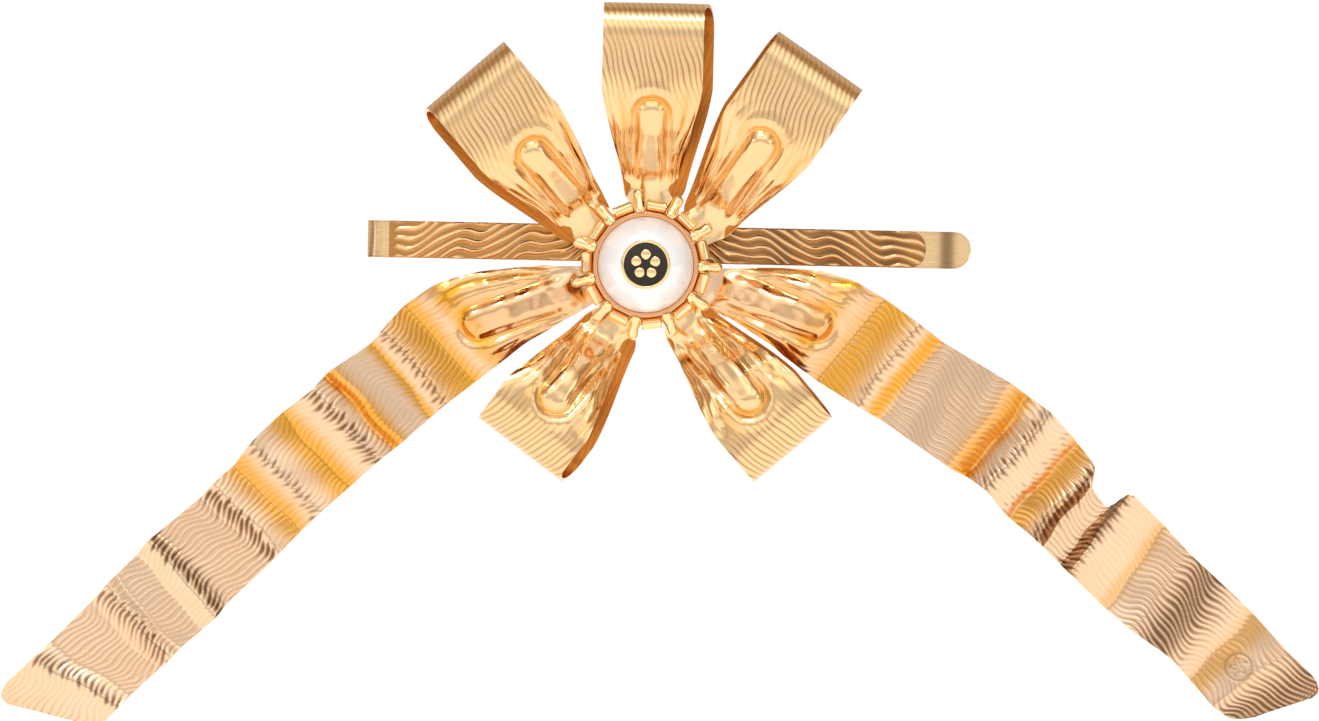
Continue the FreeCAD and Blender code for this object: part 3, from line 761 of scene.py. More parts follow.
def make_tail(label):
    """One crinkled tail; the right one has a rosette stamped on it."""
    ribbon = sizes("ribbon")
    tail = TAILS[label]
    phase = tail["phase"]
    along, across, run, height, share, place = tail_grid(label)
    down, over, arch = tongue_axes(tail["emboss"], along, across)
    tongue, distance = tongue_relief(down, over, arch, TAIL_TONGUE, ribbon.groove_depth * 0.9)
    here = 1 - smooth_step(run, 18.0, 21.5)
    neck = smooth_step(run, 3, 7) * (1 - smooth_step(run, 15, 21))
    side = share * 2 - 1
    crease = neck_creases(down, side, phase, neck, distance)
    height = height + tail_lift(down, across, side, neck, tongue * here, crease, phase)
    turn = line_turn(run, across, tail["slant"], TAIL_SWAY, phase)
    comb = 0.3 + 0.7 * smooth_step(run, 15, 20)
    comb = comb * np.maximum(smooth_step(distance, 0.7, 2.0), 1 - here)
    uneven = ragged(place, turn)
    # Dark bands: painted shade and dark reflection on the crests of the tail's folds.
    dark = banded(uneven, tail["dark"])
    groove = grooves(turn, 4.2 - 3.9 * dark) * comb
    ring = here * tongue_groove(down, distance)
    # Painted orange reflection in bands, in the tongue's groove and in the neck's folds.
    warm = tail_warmth(tail["warm"], place, uneven, turn, ring, crease, neck)
    depth = ribbon.line_depth * (0.42 + 0.95 * dark)
    # Painted shade in the combed grooves, strongest in the dark bands.
    painted_shade = groove * (0.12 + 0.88 * dark)
    points = np.stack([along, across, PLATE_FRONT + height], 2)
    marks = {"warm": warm, "painted_shade": painted_shade, "polish": 1 - comb}
    if label == "right_tail":
        mark, disc = rosette(along, across)
        groove = groove * (1 - disc) + 1.3 * mark * disc
        # The rosette's stamped lines take painted shade as well.
        marks["painted_shade"] = painted_shade * (1 - disc) + 0.45 * mark * disc
        # This tail's outer edge is on its other side, so its columns turn round to face forwards.
        points, groove, depth = (values[:, ::-1] for values in (points, groove, depth))
        marks = {name: values[:, ::-1] for name, values in marks.items()}
    return strip_piece(
        label + "_ribbon", label, points, ribbon.thickness, -groove * depth,
        bow_matrix(tail["direction"]), ("tail_plating",), marks,
    )


# ----------------------------------------------------------------- materials


def new_group(name, inputs, outputs):
    """A shader group with named sockets; gives it and its nodes for what comes in and goes out."""
    group = bpy.data.node_groups.new(name, "ShaderNodeTree")
    for label, kind, default in inputs:
        socket = group.interface.new_socket(label, in_out="INPUT", socket_type=kind)
        if default is not None:
            socket.default_value = default
    for label, kind in outputs:
        group.interface.new_socket(label, in_out="OUTPUT", socket_type=kind)
    return group, group.nodes.new("NodeGroupInput"), group.nodes.new("NodeGroupOutput")


def add_node(tree, kind, links=(), **values):
    """Adds a node, sets its properties or inputs, and links its inputs from other sockets."""
    node = tree.nodes.new(kind)
    for key, value in values.items():
        setattr(node, key, value)
    for socket, source in dict(links).items():
        if hasattr(source, "links"):
            tree.links.new(source, node.inputs[socket])
        else:
            node.inputs[socket].default_value = source
    return node


def map_range(tree, value, start, end, first, last, **values):
    """A value taken from start..end to first..last, and held at its ends."""
    links = {"Value": value, "From Min": start, "From Max": end, "To Min": first, "To Max": last}
    return add_node(tree, "ShaderNodeMapRange", links, **values).outputs[0]


def calculate(tree, operation, first, second, use_clamp=False):
    links = {0: first, 1: second}
    return add_node(tree, "ShaderNodeMath", links, operation=operation, use_clamp=use_clamp).outputs[0]


def mix_colours(tree, share, first, second):
    links = {"Factor": share, 6: first, 7: second}
    return add_node(tree, "ShaderNodeMix", links, data_type="RGBA").outputs[2]


def add_noise(tree, vector, scale, **inputs):
    return add_node(tree, "ShaderNodeTexNoise", {"Vector": vector, "Scale": scale, **inputs}).outputs["Fac"]


def brushing_group():
    """Fine hair lines and cloudy wear: a height, and a share to add to the roughness."""
    group, entry, leave = new_group(
        "HairLines",
        [
            ("Vector", "NodeSocketVector", None),
            ("Fineness", "NodeSocketFloat", 60.0),
            ("Stretch", "NodeSocketFloat", 12.0),
            ("Cloud size", "NodeSocketFloat", 3.0),
        ],
        [("Height", "NodeSocketFloat"), ("Cloud", "NodeSocketFloat")],
    )
    vector, fineness, stretch, cloud_size = entry.outputs[:4]
    lengthwise = calculate(group, "DIVIDE", fineness, stretch)
    scale = add_node(group, "ShaderNodeCombineXYZ", {0: lengthwise, 1: fineness, 2: fineness})
    links = {0: vector, 1: scale.outputs[0]}
    stretched = add_node(group, "ShaderNodeVectorMath", links, operation="MULTIPLY").outputs[0]
    hairs = add_noise(group, stretched, 1.0, Detail=3.0, Roughness=0.6)
    cloud = add_noise(group, vector, cloud_size, Detail=2.0)
    group.links.new(hairs, leave.inputs["Height"])
    group.links.new(cloud, leave.inputs["Cloud"])


def plating_group():
    """Gold plating: deepens its colour by a painted-reflection mask and by cloudy wear; darkens it by
    painted shade.
    """
    group, entry, leave = new_group(
        "PlatingColour",
        [
            ("Gold", "NodeSocketColor", (0.9, 0.63, 0.33, 1)),
            ("Deep gold", "NodeSocketColor", (0.8, 0.4, 0.12, 1)),
            # The dark brown that the painted shade mixes towards.
            ("Painted shade colour", "NodeSocketColor", (0.15, 0.07, 0.03, 1)),
            ("Warmth", "NodeSocketFloat", 0.0),
            ("Darkness", "NodeSocketFloat", 0.0),
            ("Cloud", "NodeSocketFloat", 0.5),
        ],
        [("Color", "NodeSocketColor")],
    )
    gold, deep, painted_shade, warmth, darkness, cloud = entry.outputs[:6]
    wear = map_range(group, cloud, 0.35, 0.75, 0.0, 0.16)
    total = calculate(group, "ADD", warmth, wear, use_clamp=True)
    plating = mix_colours(group, total, gold, deep)
    group.links.new(mix_colours(group, darkness, plating, painted_shade), leave.inputs["Color"])


def add_group(tree, name, links):
    return add_node(tree, "ShaderNodeGroup", links, node_tree=bpy.data.node_groups[name])


def hair_lines(tree, coordinates, fineness, stretch, cloud_size):
    """The shared hair lines and clouds, in the piece's UV or Object coordinates."""
    vector = tree.nodes.new("ShaderNodeTexCoord").outputs[coordinates]
    links = {"Vector": vector, "Fineness": fineness, "Stretch": stretch, "Cloud size": cloud_size}
    lines = add_group(tree, "HairLines", links)
    return lines.outputs["Height"], lines.outputs["Cloud"]


def new_finish(name, settings):
    """A new material with the shader's constant values set; gives its tree and its shader."""
    finish = bpy.data.materials.new(name)
    finish.use_nodes = True
    shader = finish.node_tree.nodes["Principled BSDF"]
    for socket, value in settings.items():
        shader.inputs[socket].default_value = value
    return finish.node_tree, shader


def add_bump(tree, shader, height, strength, distance):
    bump = add_node(tree, "ShaderNodeBump", {"Strength": strength, "Distance": distance, "Height": height})
    tree.links.new(bump.outputs["Normal"], shader.inputs["Normal"])


def strip_masks(tree, wash):
    """The painted orange reflection (warm), painted shade and polish that a strip's own values give, with a
    wash of painted warmth added.
    """
    warm, painted_shade, polish = (
        add_node(tree, "ShaderNodeAttribute", attribute_name=name).outputs["Fac"]
        for name in ("warm", "painted_shade", "polish")
    )
    return calculate(tree, "ADD", warm, wash, use_clamp=True), painted_shade, polish


def plated_metal(name, gold, deep, roughness, hairs, mapped=True, wash=0.0):
    """A gold finish that follows a strip's own map and values, or only the object's coordinates.

    Its roughness is (combed, polished) and its hair lines are (fineness, bump strength, stretch).
    """
    tree, shader = new_finish(name, {"Metallic": 1.0})
    fineness, bump_strength, stretch = hairs
    coordinates, cloud_size = ("UV", 0.9) if mapped else ("Object", 140.0)
    height, cloud = hair_lines(tree, coordinates, fineness, stretch, cloud_size)
    warmth, darkness, polish = strip_masks(tree, wash) if mapped else (0.0, 0.0, 0.0)
    links = {"Gold": (*gold, 1), "Deep gold": (*deep, 1), "Warmth": warmth, "Darkness": darkness}
    plating = add_group(tree, "PlatingColour", {**links, "Cloud": cloud})
    tree.links.new(plating.outputs["Color"], shader.inputs["Base Color"])
    spread = map_range(tree, cloud, 0.3, 0.7, -0.03, 0.04)
    satin = map_range(tree, polish, 0.0, 1.0, *roughness)
    tree.links.new(calculate(tree, "ADD", spread, satin), shader.inputs["Roughness"])
    add_bump(tree, shader, height, bump_strength, 0.00002)


def pearl_material():
    """Pearl: a rim painted a darker grey as shade where it turns from view, a drift of cloudy lustre and a
    clear coat.
    """
    pearl = (*sizes("colours").pearl, 1)
    tree, shader = new_finish(
        "pearl_nacre",
        {
            "Coat Weight": 1.0,
            "Coat IOR": 1.8,
            "Coat Roughness": 0.10,
            "Specular IOR Level": 0.7,
            "Subsurface Weight": 0.25,
            "Subsurface Radius": (0.0012, 0.001, 0.0009),
        },
    )
    height, cloud = hair_lines(tree, "Object", 900.0, 1.0, 260.0)
    # Painted shade: the pearl turns darker towards its rim as its surface turns away from the view.
    facing = add_node(tree, "ShaderNodeLayerWeight", {"Blend": 0.35}).outputs["Facing"]
    painted_rim_shade = mix_colours(tree, facing, pearl, (0.78, 0.77, 0.80, 1))
    lustre = map_range(tree, cloud, 0.35, 0.7, 0.0, 0.35)
    colour = mix_colours(tree, lustre, painted_rim_shade, (0.80, 0.82, 0.88, 1))
    tree.links.new(colour, shader.inputs["Base Color"])
    tree.links.new(map_range(tree, cloud, 0.0, 1.0, 0.16, 0.34), shader.inputs["Roughness"])
    add_bump(tree, shader, height, 0.15, 0.00001)


def enamel_material():
    """Glassy black enamel with faint brown clouds."""
    black = (*sizes("colours").enamel, 1)
    tree, shader = new_finish(
        "glass_enamel", {"Specular IOR Level": 0.3, "Coat Weight": 0.15, "Coat Roughness": 0.05}
    )
    _, cloud = hair_lines(tree, "Object", 500.0, 1.0, 900.0)
    tree.links.new(mix_colours(tree, cloud, black, (0.03, 0.02, 0.012, 1)), shader.inputs["Base Color"])
    tree.links.new(map_range(tree, cloud, 0.0, 1.0, 0.1, 0.3), shader.inputs["Roughness"])


def make_materials():
    """All finishes, once, by name."""
    colours = sizes("colours")
    gold, pale, deep = colours.gold, colours.pale_gold, colours.deep_gold
    clip_gold = (0.84, 0.60, 0.33)
    ribbon_hairs = (90.0, 0.5, 14.0)
    brushing_group()
    plating_group()
    plated_metal("ribbon_plating", gold, deep, (0.20, 0.11), ribbon_hairs)
    plated_metal("tail_plating", pale, deep, (0.20, 0.11), ribbon_hairs)
    # Inner faces of the loops: a dark rust copy of the plating, painted shade and orange reflection inside
    # the folds.
    plated_metal(
        "ribbon_inside_painted_shade", (0.64, 0.23, 0.04), (0.42, 0.11, 0.012), (0.32, 0.3), (70.0, 0.4, 10.0), wash=0.15
    )
    plated_metal("engraved_plating", gold, (0.62, 0.27, 0.06), (0.22, 0.14), (80.0, 0.4, 10.0))
    plated_metal("clip_plating", clip_gold, (0.55, 0.30, 0.12), (0.22, 0.14), (70.0, 0.5, 16.0))
    plated_metal("collar_plating", (0.95, 0.70, 0.38), deep, (0.10, 0.08), (2500.0, 0.15, 2.0), mapped=False)
    # The cup: an orange copy of the plating, painted orange reflection of the gold round its rim.
    plated_metal(
        "cup_painted_orange_reflection", (0.84, 0.42, 0.20), (0.70, 0.26, 0.10), (0.22, 0.2), (2500.0, 0.2, 2.0), mapped=False
    )
    plated_metal("plain_plating", clip_gold, deep, (0.26, 0.2), (3000.0, 0.5, 8.0), mapped=False)
    pearl_material()
    enamel_material()


def material(name):
    """A finish by name; all of them are made when the first is asked for."""
    if name not in bpy.data.materials:
        make_materials()
    return bpy.data.materials[name]


# ---------------------------------------------------------------------- clip

# Takes (x, across the bar, forward) in millimetres to the frame, in metres.
CLIP_MATRIX = Matrix.Scale(MM, 4) @ Matrix(((1, 0, 0, 0), (0, 0, -1, 0), (0, 1, 0, 0), (0, 0, 0, 1)))
# Mesh spacing along the clip's strips, and the mesh's columns and rows.
CLIP_STEP = 0.25
CLIP_COLUMNS = 41
BAR_ROWS = 480
BAR_COLUMNS = 61
# Where the leaf and the leg start to lift at their free ends.
LEAF_BEND = 34.3
LEG_BEND = 28.3
# The leg's waves: where they start past the leg's left end, their number, length and depth.
WAVES_START = 10.5
WAVE_COUNT = 3
WAVE_LENGTH = 11
WAVE_DEPTH = 0.9
# The shaded bend before the tongue, as (x, reach before, reach after, strength).
TONGUE_BEND = (34.9, 0.9, 0.9, 0.75)


def rounded_half_width(x, width, end, corner):
    """Half the width of a strip at each x, rounded off over the corner's length before its end."""
    past = np.clip((x - (end - corner)) / corner, 0, 1)
    return width / 2 - corner + corner * np.sqrt(1 - past ** 2)


def clip_strip(name, node, path, width, body):
    """A bent strip of the clip, drawn as its side view and given a rounded tongue."""
    share = np.linspace(-1, 1, CLIP_COLUMNS)[None, :]
    x, y = (np.repeat(c[:, None], CLIP_COLUMNS, 1) for c in path.T)
    z = rounded_half_width(x, width, right_of(node), width / 2 * 0.92) * share
    lines = grooves(np.abs(x) * 1.3 + 0.2 * share, 2.0) * (1 - smooth_step(x, -31.2, -30.6))
    # Painted orange reflection on the strip's edges and lines; painted shade in the lines and on the bend
    # before the tongue.
    marks = {
        "warm": 0.35 * np.abs(share) ** 8 + 0.4 * lines,
        "painted_shade": 0.5 * lines + banded(x, (TONGUE_BEND,)),
        "polish": 1 - lines,
    }
    return strip_piece(
        name, node, np.stack([x, z, -y], 2), SPRING_THICKNESS, -0.05 * lines, CLIP_MATRIX,
        ("clip_plating",), marks, body,
    )


def leaf_path():
    """The leaf's side view as (x, y): fold at the left, leaf, and a tongue that lifts forward."""
    left, right = left_of("clip_upper_leaf"), right_of("clip_upper_leaf")
    corners = [
        (left + 1.5, SPRING_MIDDLE, 0),
        (left + 0.4, SPRING_MIDDLE, SPRING_MIDDLE * 0.98),
        (left + 0.4, -SPRING_MIDDLE, SPRING_MIDDLE * 0.98),
        (LEAF_BEND, -SPRING_MIDDLE, 4.0),
        (right, -SPRING_MIDDLE - 0.42, 0),
    ]
    return rounded_path(corners, CLIP_STEP)[0]


def leg_path():
    """The leg's side view as (x, y): a row of shallow waves, then a tip that lifts away."""
    left, right = left_of("clip_lower_leg"), right_of("clip_lower_leg")
    corners = [(left, SPRING_MIDDLE, 0)]
    for wave in range(WAVE_COUNT):
        centre = left + WAVES_START + (wave + 0.5) * WAVE_LENGTH
        corners.append((centre - 0.3 * WAVE_LENGTH, SPRING_MIDDLE, 5.0))
        corners.append((centre, SPRING_MIDDLE - WAVE_DEPTH, 4.0))
        corners.append((centre + 0.3 * WAVE_LENGTH, SPRING_MIDDLE, 5.0))
    corners.append((LEG_BEND, SPRING_MIDDLE - 0.54, 4.0))
    corners.append((right, SPRING_MIDDLE + 0.45, 0))
    return rounded_path(corners, CLIP_STEP)[0]


def engraved_bar():
    """The cover strip with raised wavy ridges on a ground painted dark as shade, square at its left end."""
    clip = sizes("clip")
    left, right = left_of("cover_bar"), right_of("cover_bar")
    front, back = front_of("cover_bar"), back_of("cover_bar")
    width = width_of("cover_bar")
    x = np.repeat(np.linspace(left, right, BAR_ROWS)[:, None], BAR_COLUMNS, 1)
    share = np.linspace(-1, 1, BAR_COLUMNS)[None, :]
    z = rounded_half_width(x, width, right, width * 0.45) * share
    outwards = np.abs(x)
    sway = 0.55 * np.sin(outwards * 0.74 + 0.6) + 0.15 * np.sin(outwards * 1.7 + z * 0.8)
    ridge = grooves((z + 0.36 * outwards + sway) / clip.ridge_pitch, 3.4)
    border = 1 - smooth_step(np.abs(share), 0.92, 0.99)
    ridge = ridge * border * smooth_step(x, left + 0.5, left + 1.2)
    ground = 1 - ridge
    # The ground between the ridges is painted orange as reflection and dark as shade, darker towards the
    # right.
    browner = smooth_step(x, -4, 12)
    painted_shade = ground * (0.34 + 0.52 * browner) * (0.7 + 0.3 * np.sin(outwards * 0.5) ** 2)
    marks = {"warm": 0.8 * ground, "painted_shade": painted_shade, "polish": ridge}
    grid = np.stack([x, z, np.full_like(x, (front + back) / 2)], 2)
    return strip_piece(
        "engraved_bar", "cover_bar", grid, front - back, clip.ridge_height * ridge, CLIP_MATRIX,
        ("engraved_plating",), marks,
    )


# -------------------------------------------------------------------- collar

# Sides of the round pieces' meshes.
CLAW_SIDES = 24
BAR_SIDES = 28
PETAL_SIDES = 28
CUP_SIDES = 128
PEARL_SIDES = 192
# How far the claws and bars stand off the cup.
COLLAR_GAP = 0.03
# How far a claw's start stands before the rest of it.
CLAW_RISE = 1.0
# Width of the badge's rim, and how deep its dish is.
BADGE_RIM = 0.35
# The flower: its petals, the radius of each, and how far out its middle is.
PETALS = 5
PETAL_RADIUS = 0.60
PETAL_REACH = 1.12


def ring_tree():
    """Geometry nodes that set copies of one object evenly round the forward axis."""
    tree = bpy.data.node_groups.new("RingOfPieces", "GeometryNodeTree")
    tree.interface.new_socket("Geometry", in_out="OUTPUT", socket_type="NodeSocketGeometry")
    for name, kind in (
        ("Piece", "NodeSocketObject"),
        ("Count", "NodeSocketInt"),
        ("Ring radius", "NodeSocketFloat"),
        ("Start angle", "NodeSocketFloat"),
        ("Material", "NodeSocketMaterial"),
    ):
        tree.interface.new_socket(name, in_out="INPUT", socket_type=kind)
    entry = tree.nodes.new("NodeGroupInput")
    leave = tree.nodes.new("NodeGroupOutput")
    source, count, radius, start, finish = entry.outputs[:5]
    ring = add_node(tree, "GeometryNodeMeshCircle", {"Vertices": count, "Radius": radius})
    spot = tree.nodes.new("GeometryNodeInputPosition").outputs[0]
    align = add_node(tree, "FunctionNodeAlignRotationToVector", {"Vector": spot}, axis="X", pivot_axis="Z")
    piece = add_node(tree, "GeometryNodeObjectInfo", {"Object": source}).outputs["Geometry"]
    links = {"Points": ring.outputs[0], "Instance": piece, "Rotation": align.outputs[0]}
    copies = add_node(tree, "GeometryNodeInstanceOnPoints", links)
    whole = add_node(tree, "GeometryNodeRealizeInstances", {"Geometry": copies.outputs[0]})
    turn = add_node(tree, "ShaderNodeCombineXYZ", {"Z": start}).outputs[0]
    turned = add_node(tree, "GeometryNodeTransform", {"Geometry": whole.outputs[0], "Rotation": turn})
    links = {"Geometry": turned.outputs[0], "Material": finish}
    done = add_node(tree, "GeometryNodeSetMaterial", links)
    tree.links.new(done.outputs[0], leave.inputs[0])
    return tree


def ring_of(name, node, source, count, radius, angle):
    """Runs the ring tree on a source mesh and keeps the result as one plain mesh."""
    tree = bpy.data.node_groups.get("RingOfPieces") or ring_tree()
    pattern = add_object(name + "_source", source)
    holder = add_object(name + "_holder", bpy.data.meshes.new(name + "_holder"))
    modifier = holder.modifiers.new("Ring", "NODES")
    modifier.node_group = tree
    given = {
        "Piece": pattern,
        "Count": count,
        "Ring radius": radius,
        "Start angle": math.radians(angle),
        "Material": material("collar_plating"),
    }
    for item in tree.interface.items_tree:
        if item.in_out == "INPUT":
            modifier[item.identifier] = given[item.name]
    bpy.context.view_layer.update()
    result = bpy.data.meshes.new_from_object(holder.evaluated_get(bpy.context.evaluated_depsgraph_get()))
    holder.modifiers.remove(modifier)
    bpy.data.objects.remove(holder)
    bpy.data.objects.remove(pattern)
    result.name = name
    result.transform(bow_matrix(0))
    return finish_piece(name, result, BODY, node, 45)


def cup_profile():
    """The pearl's cup, with the stud on its back."""
    rim = front_of("pearl_cup")
    back = back_of("pearl_cup")
    floor = CUP_BACK + 0.6
    inside = PEARL_RADIUS - 0.05
    return rounded_profile(
        [
            (0, back, 0),
            (1.0, back, 0.1),
            (1.0, CUP_BACK, 0.05),
            (CUP_RADIUS, CUP_BACK, 0.2),
            (CUP_RADIUS, rim, 0.06),
            (inside, rim, 0.04),
            (inside, floor, 0.2),
            (0, floor, 0),
        ]
    )


def claw_source():
    """A round-ended claw that comes down from the cup's rim and lies outwards."""
    rod = sizes("collar").claw_radius
    tip = rod * 0.95
    reach = radius_of("claw_prongs") - CUP_RADIUS
    profile = [(0, 0), (rod * 0.75, 0.04), (rod * 1.05, 0.3), (rod * 1.05, 0.75), (rod * 0.85, 1.35)]
    profile += [
        (tip * math.cos(a), reach - tip + tip * math.sin(a)) for a in np.linspace(0, math.radians(86), 9)
    ]
    profile.append((0, reach))
    height = CUP_BACK + rod + 0.4
    lay = Matrix(((0, 0, 1, 0), (0, 1, 0, 0), (-1, 0, 0, height), (0, 0, 0, 1)))
    vertices, faces = lathe(profile, CLAW_SIDES, lay)
    vertices = [(x, y, z + CLAW_RISE * (1 - x / reach) ** 2) for x, y, z in vertices]
    return plain_mesh("claw", vertices, faces)


def bar_source():
    """A short round bar that lies round the cup, with softened ends and a slight waist."""
    collar = sizes("collar")
    radius, length = collar.bar_radius, collar.bar_length
    waist = radius * 0.95
    profile = [(0, 0), (radius * 0.86, 0), (radius, 0.12), (waist, 0.4), (waist, length - 0.4)]
    profile += [(radius, length - 0.12), (radius * 0.86, length), (0, length)]
    height = CUP_BACK + radius + 0.2
    lay = Matrix(((1, 0, 0, radius), (0, 0, -1, length / 2), (0, 1, 0, height), (0, 0, 0, 1)))
    return plain_mesh("bar", *lathe(profile, BAR_SIDES, lay))


def pearl_profile():
    """A ball flattened at its back, and at the front where the badge sits."""
    seat, back = back_of("emblem_badge"), back_of("pearl")
    top = math.acos(radius_of("emblem_badge") / PEARL_RADIUS)
    centre = seat - PEARL_RADIUS * math.sin(top)
    bottom = math.asin((back - centre) / PEARL_RADIUS)
    arc = [
        (PEARL_RADIUS * math.cos(a), centre + PEARL_RADIUS * math.sin(a))
        for a in np.linspace(bottom, top, 60)
    ]
    return [(0, back), *arc, (0, seat)]


def badge_profile(rim, floor):
    """A shallow dish with a rounded rim."""
    seat, front = back_of("emblem_badge"), front_of("emblem_badge")
    radius = radius_of("emblem_badge")
    corners = [
        (0, seat, 0),
        (radius, seat, 0.05),
        (radius, front, 0.16),
        (rim, front, 0.14),
        (rim, floor, 0.04),
        (0, floor, 0),
    ]
    return rounded_profile(corners, 0.03)


def petal_source(low, high):
    """A domed round petal that reaches from the flower's middle, and narrows towards it."""
    sill = low + 0.06
    profile = [(0, low), (PETAL_RADIUS, low), (PETAL_RADIUS, sill)]
    profile += [
        (PETAL_RADIUS * math.cos(a), sill + (high - low) * math.sin(a)) for a in np.linspace(0.2, 1.5, 8)
    ]
    profile.append((0, high + 0.06))
    vertices, faces = lathe(profile, PETAL_SIDES, Matrix.Translation((PETAL_REACH, 0, 0)))
    vertices = [(x, y * (0.55 + 0.45 * min(1.0, x / 1.1)), z) for x, y, z in vertices]
    return plain_mesh("petal", vertices, faces)


# ---------------------------------------------------------------------- stage


FLOOR_DROP = 0.03
FLOOR_HALF_SIDE = 6.0

# Each patch of brightness: its direction, the angles at which it is full and gone, and its strength.
STUDIO_PATCHES = (
    ((0, -1, 0), 16, 60, 0.84),
    ((0, -0.5, 0.87), 12, 42, 1.1),
    ((0, 1, 0.1), 55, 90, 0.65),
    ((-0.85, -0.5, 0.15), 6, 24, 0.75),
    ((0.85, -0.5, 0.15), 6, 24, 0.75),
    ((-0.62, -0.5, 0.6), 12, 34, 0.7),
    ((0.62, -0.5, 0.6), 12, 34, 0.7),
    ((-0.62, -0.56, -0.55), 8, 30, 0.33),
    ((0.62, -0.56, -0.55), 8, 30, 0.33),
    ((0, -0.3, -0.95), 20, 50, 0.25),
)
# The studio's brightness between the patches, and the one at which its light is no longer warm.
DIM_LEVEL = 0.47
WHITE_LEVEL = 0.8

# Each lamp: its place, its size and its power, in metres and watts.
LAMPS = {
    "key_panel": ((-0.08, -0.30, 0.62), (0.16, 0.10), 0.8),
    "left_panel": ((-0.65, -0.35, 0.12), (0.06, 0.30), 0.08),
    "right_panel": ((0.65, -0.40, 0.10), (0.06, 0.30), 0.08),
}
LAMP_TARGET = (0.0, -0.005, -0.012)

# The camera's roll in degrees, and its distance, the width that it sees and its aim's place, in metres.
CAMERA_ROLL = 1.17
CAMERA_DISTANCE = 1.3
CAMERA_VIEW_WIDTH = 0.1521
AIM_RIGHT_OF_PEARL = 0.00159
AIM_BELOW_PEARL = 0.01106
AIM_DEPTH = -0.008


def make_floor():
    """A wide pale floor that glows a little, so that it stays even behind the slide."""
    low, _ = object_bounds()
    height = low.z - FLOOR_DROP
    signs = ((-1, -1), (1, -1), (1, 1), (-1, 1))
    corners = [(x * FLOOR_HALF_SIDE, y * FLOOR_HALF_SIDE, height) for x, y in signs]
    mesh = plain_mesh("floor", corners, [(0, 1, 2, 3)])
    new_finish(
        "pale_floor",
        {
            "Base Color": (*sizes("colours").floor, 1),
            "Roughness": 0.9,
            "Emission Color": (1, 1, 1, 1),
            "Emission Strength": 0.5,
        },
    )
    mesh.materials.append(material("pale_floor"))
    add_object("floor", mesh)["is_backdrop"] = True


def patch_of_light(tree, sky, direction, inner, outer, strength):
    """A soft round patch of sky brightness about a direction, by the angle's cosine."""
    links = {0: sky, 1: tuple(Vector(direction).normalized())}
    facing = add_node(tree, "ShaderNodeVectorMath", links, operation="DOT_PRODUCT").outputs["Value"]
    gone, full = math.cos(math.radians(outer)), math.cos(math.radians(inner))
    return map_range(tree, facing, gone, full, 0.0, strength, interpolation_type="SMOOTHSTEP")


def make_world():
    """A white studio: what the camera sees is white, and the metal sees panels and darker gaps."""
    world = bpy.data.worlds.new("studio")
    bpy.context.scene.world = world
    world.use_nodes = True
    tree = world.node_tree
    tree.nodes.clear()
    place = tree.nodes.new("ShaderNodeTexCoord").outputs["Generated"]
    sky = add_node(tree, "ShaderNodeVectorMath", {0: place}, operation="NORMALIZE").outputs[0]
    total = 0.0
    for patch in STUDIO_PATCHES:
        total = calculate(tree, "ADD", total, patch_of_light(tree, sky, *patch))
    level = calculate(tree, "MAXIMUM", total, DIM_LEVEL)
    bright = map_range(tree, level, DIM_LEVEL, WHITE_LEVEL, 0.0, 1.0)
    tint = mix_colours(tree, bright, (1.0, 0.70, 0.42, 1), (1.0, 0.985, 0.965, 1))
    studio = add_node(tree, "ShaderNodeBackground", {"Strength": level, "Color": tint})
    white = add_node(tree, "ShaderNodeBackground", {"Strength": 1.05, "Color": (1, 1, 1, 1)})
    seen = tree.nodes.new("ShaderNodeLightPath").outputs["Is Camera Ray"]
    mix = add_node(tree, "ShaderNodeMixShader", {0: seen, 1: studio.outputs[0], 2: white.outputs[0]})
    add_node(tree, "ShaderNodeOutputWorld", {0: mix.outputs[0]})


def make_lights():
    """Soft rectangular lamps that face the bow."""
    for name, (place, size, power) in LAMPS.items():
        lamp = bpy.data.lights.new(name, "AREA")
        lamp.shape = "RECTANGLE"
        lamp.size, lamp.size_y = size
        lamp.energy = power
        holder = add_object(name, lamp)
        holder.location = place
        holder.rotation_mode = "QUATERNION"
        holder.rotation_quaternion = (Vector(LAMP_TARGET) - Vector(place)).to_track_quat("-Z", "Y")


def make_camera():
    """A long lens square to the bow, turned by the little that the slide hangs off level."""
    lens = bpy.data.cameras.new("camera")
    camera = add_object("camera", lens)
    bpy.context.scene.camera = camera
    lens.sensor_width = 36.0
    lens.lens = lens.sensor_width * CAMERA_DISTANCE / CAMERA_VIEW_WIDTH
    lens.clip_start, lens.clip_end = 0.05, 50
    roll = math.radians(CAMERA_ROLL)
    right = Vector((math.cos(roll), 0, math.sin(roll)))
    up = Vector((-math.sin(roll), 0, math.cos(roll)))
    pearl = BOW_MIDDLE * MM
    aim = Vector((pearl.x, AIM_DEPTH, pearl.z)) + right * AIM_RIGHT_OF_PEARL - up * AIM_BELOW_PEARL
    turn = Matrix((right, up, (0, -1, 0))).transposed().to_4x4()
    camera.matrix_world = Matrix.Translation(aim + Vector((0, -CAMERA_DISTANCE, 0))) @ turn


# ------------------------------------------------------------------ operators


class HAIRSLIDE_OT_loops(bpy.types.Operator):
    """Makes the five folded ribbon loops"""

    bl_idname = "hairslide.loops"
    bl_label = "Ribbon loops"

    def execute(self, context):
        for label in LOOPS:
            make_loop(label)
        return {"FINISHED"}


class HAIRSLIDE_OT_tails(bpy.types.Operator):
    """Makes the two crinkled ribbon tails"""

    bl_idname = "hairslide.tails"
    bl_label = "Ribbon tails"

    def execute(self, context):
        for label in TAILS:
            make_tail(label)
        return {"FINISHED"}


class HAIRSLIDE_OT_clip(bpy.types.Operator):
    """Makes the spring clip and its engraved bar"""

    bl_idname = "hairslide.clip"
    bl_label = "Spring clip"

    def execute(self, context):
        width = width_of("clip_upper_leaf")
        clip_strip("spring_leaf", "clip_upper_leaf", leaf_path(), width, BODY)
        clip_strip("spring_leg", "clip_lower_leg", leg_path(), width, LEG_BODY)
        engraved_bar()
        return {"FINISHED"}


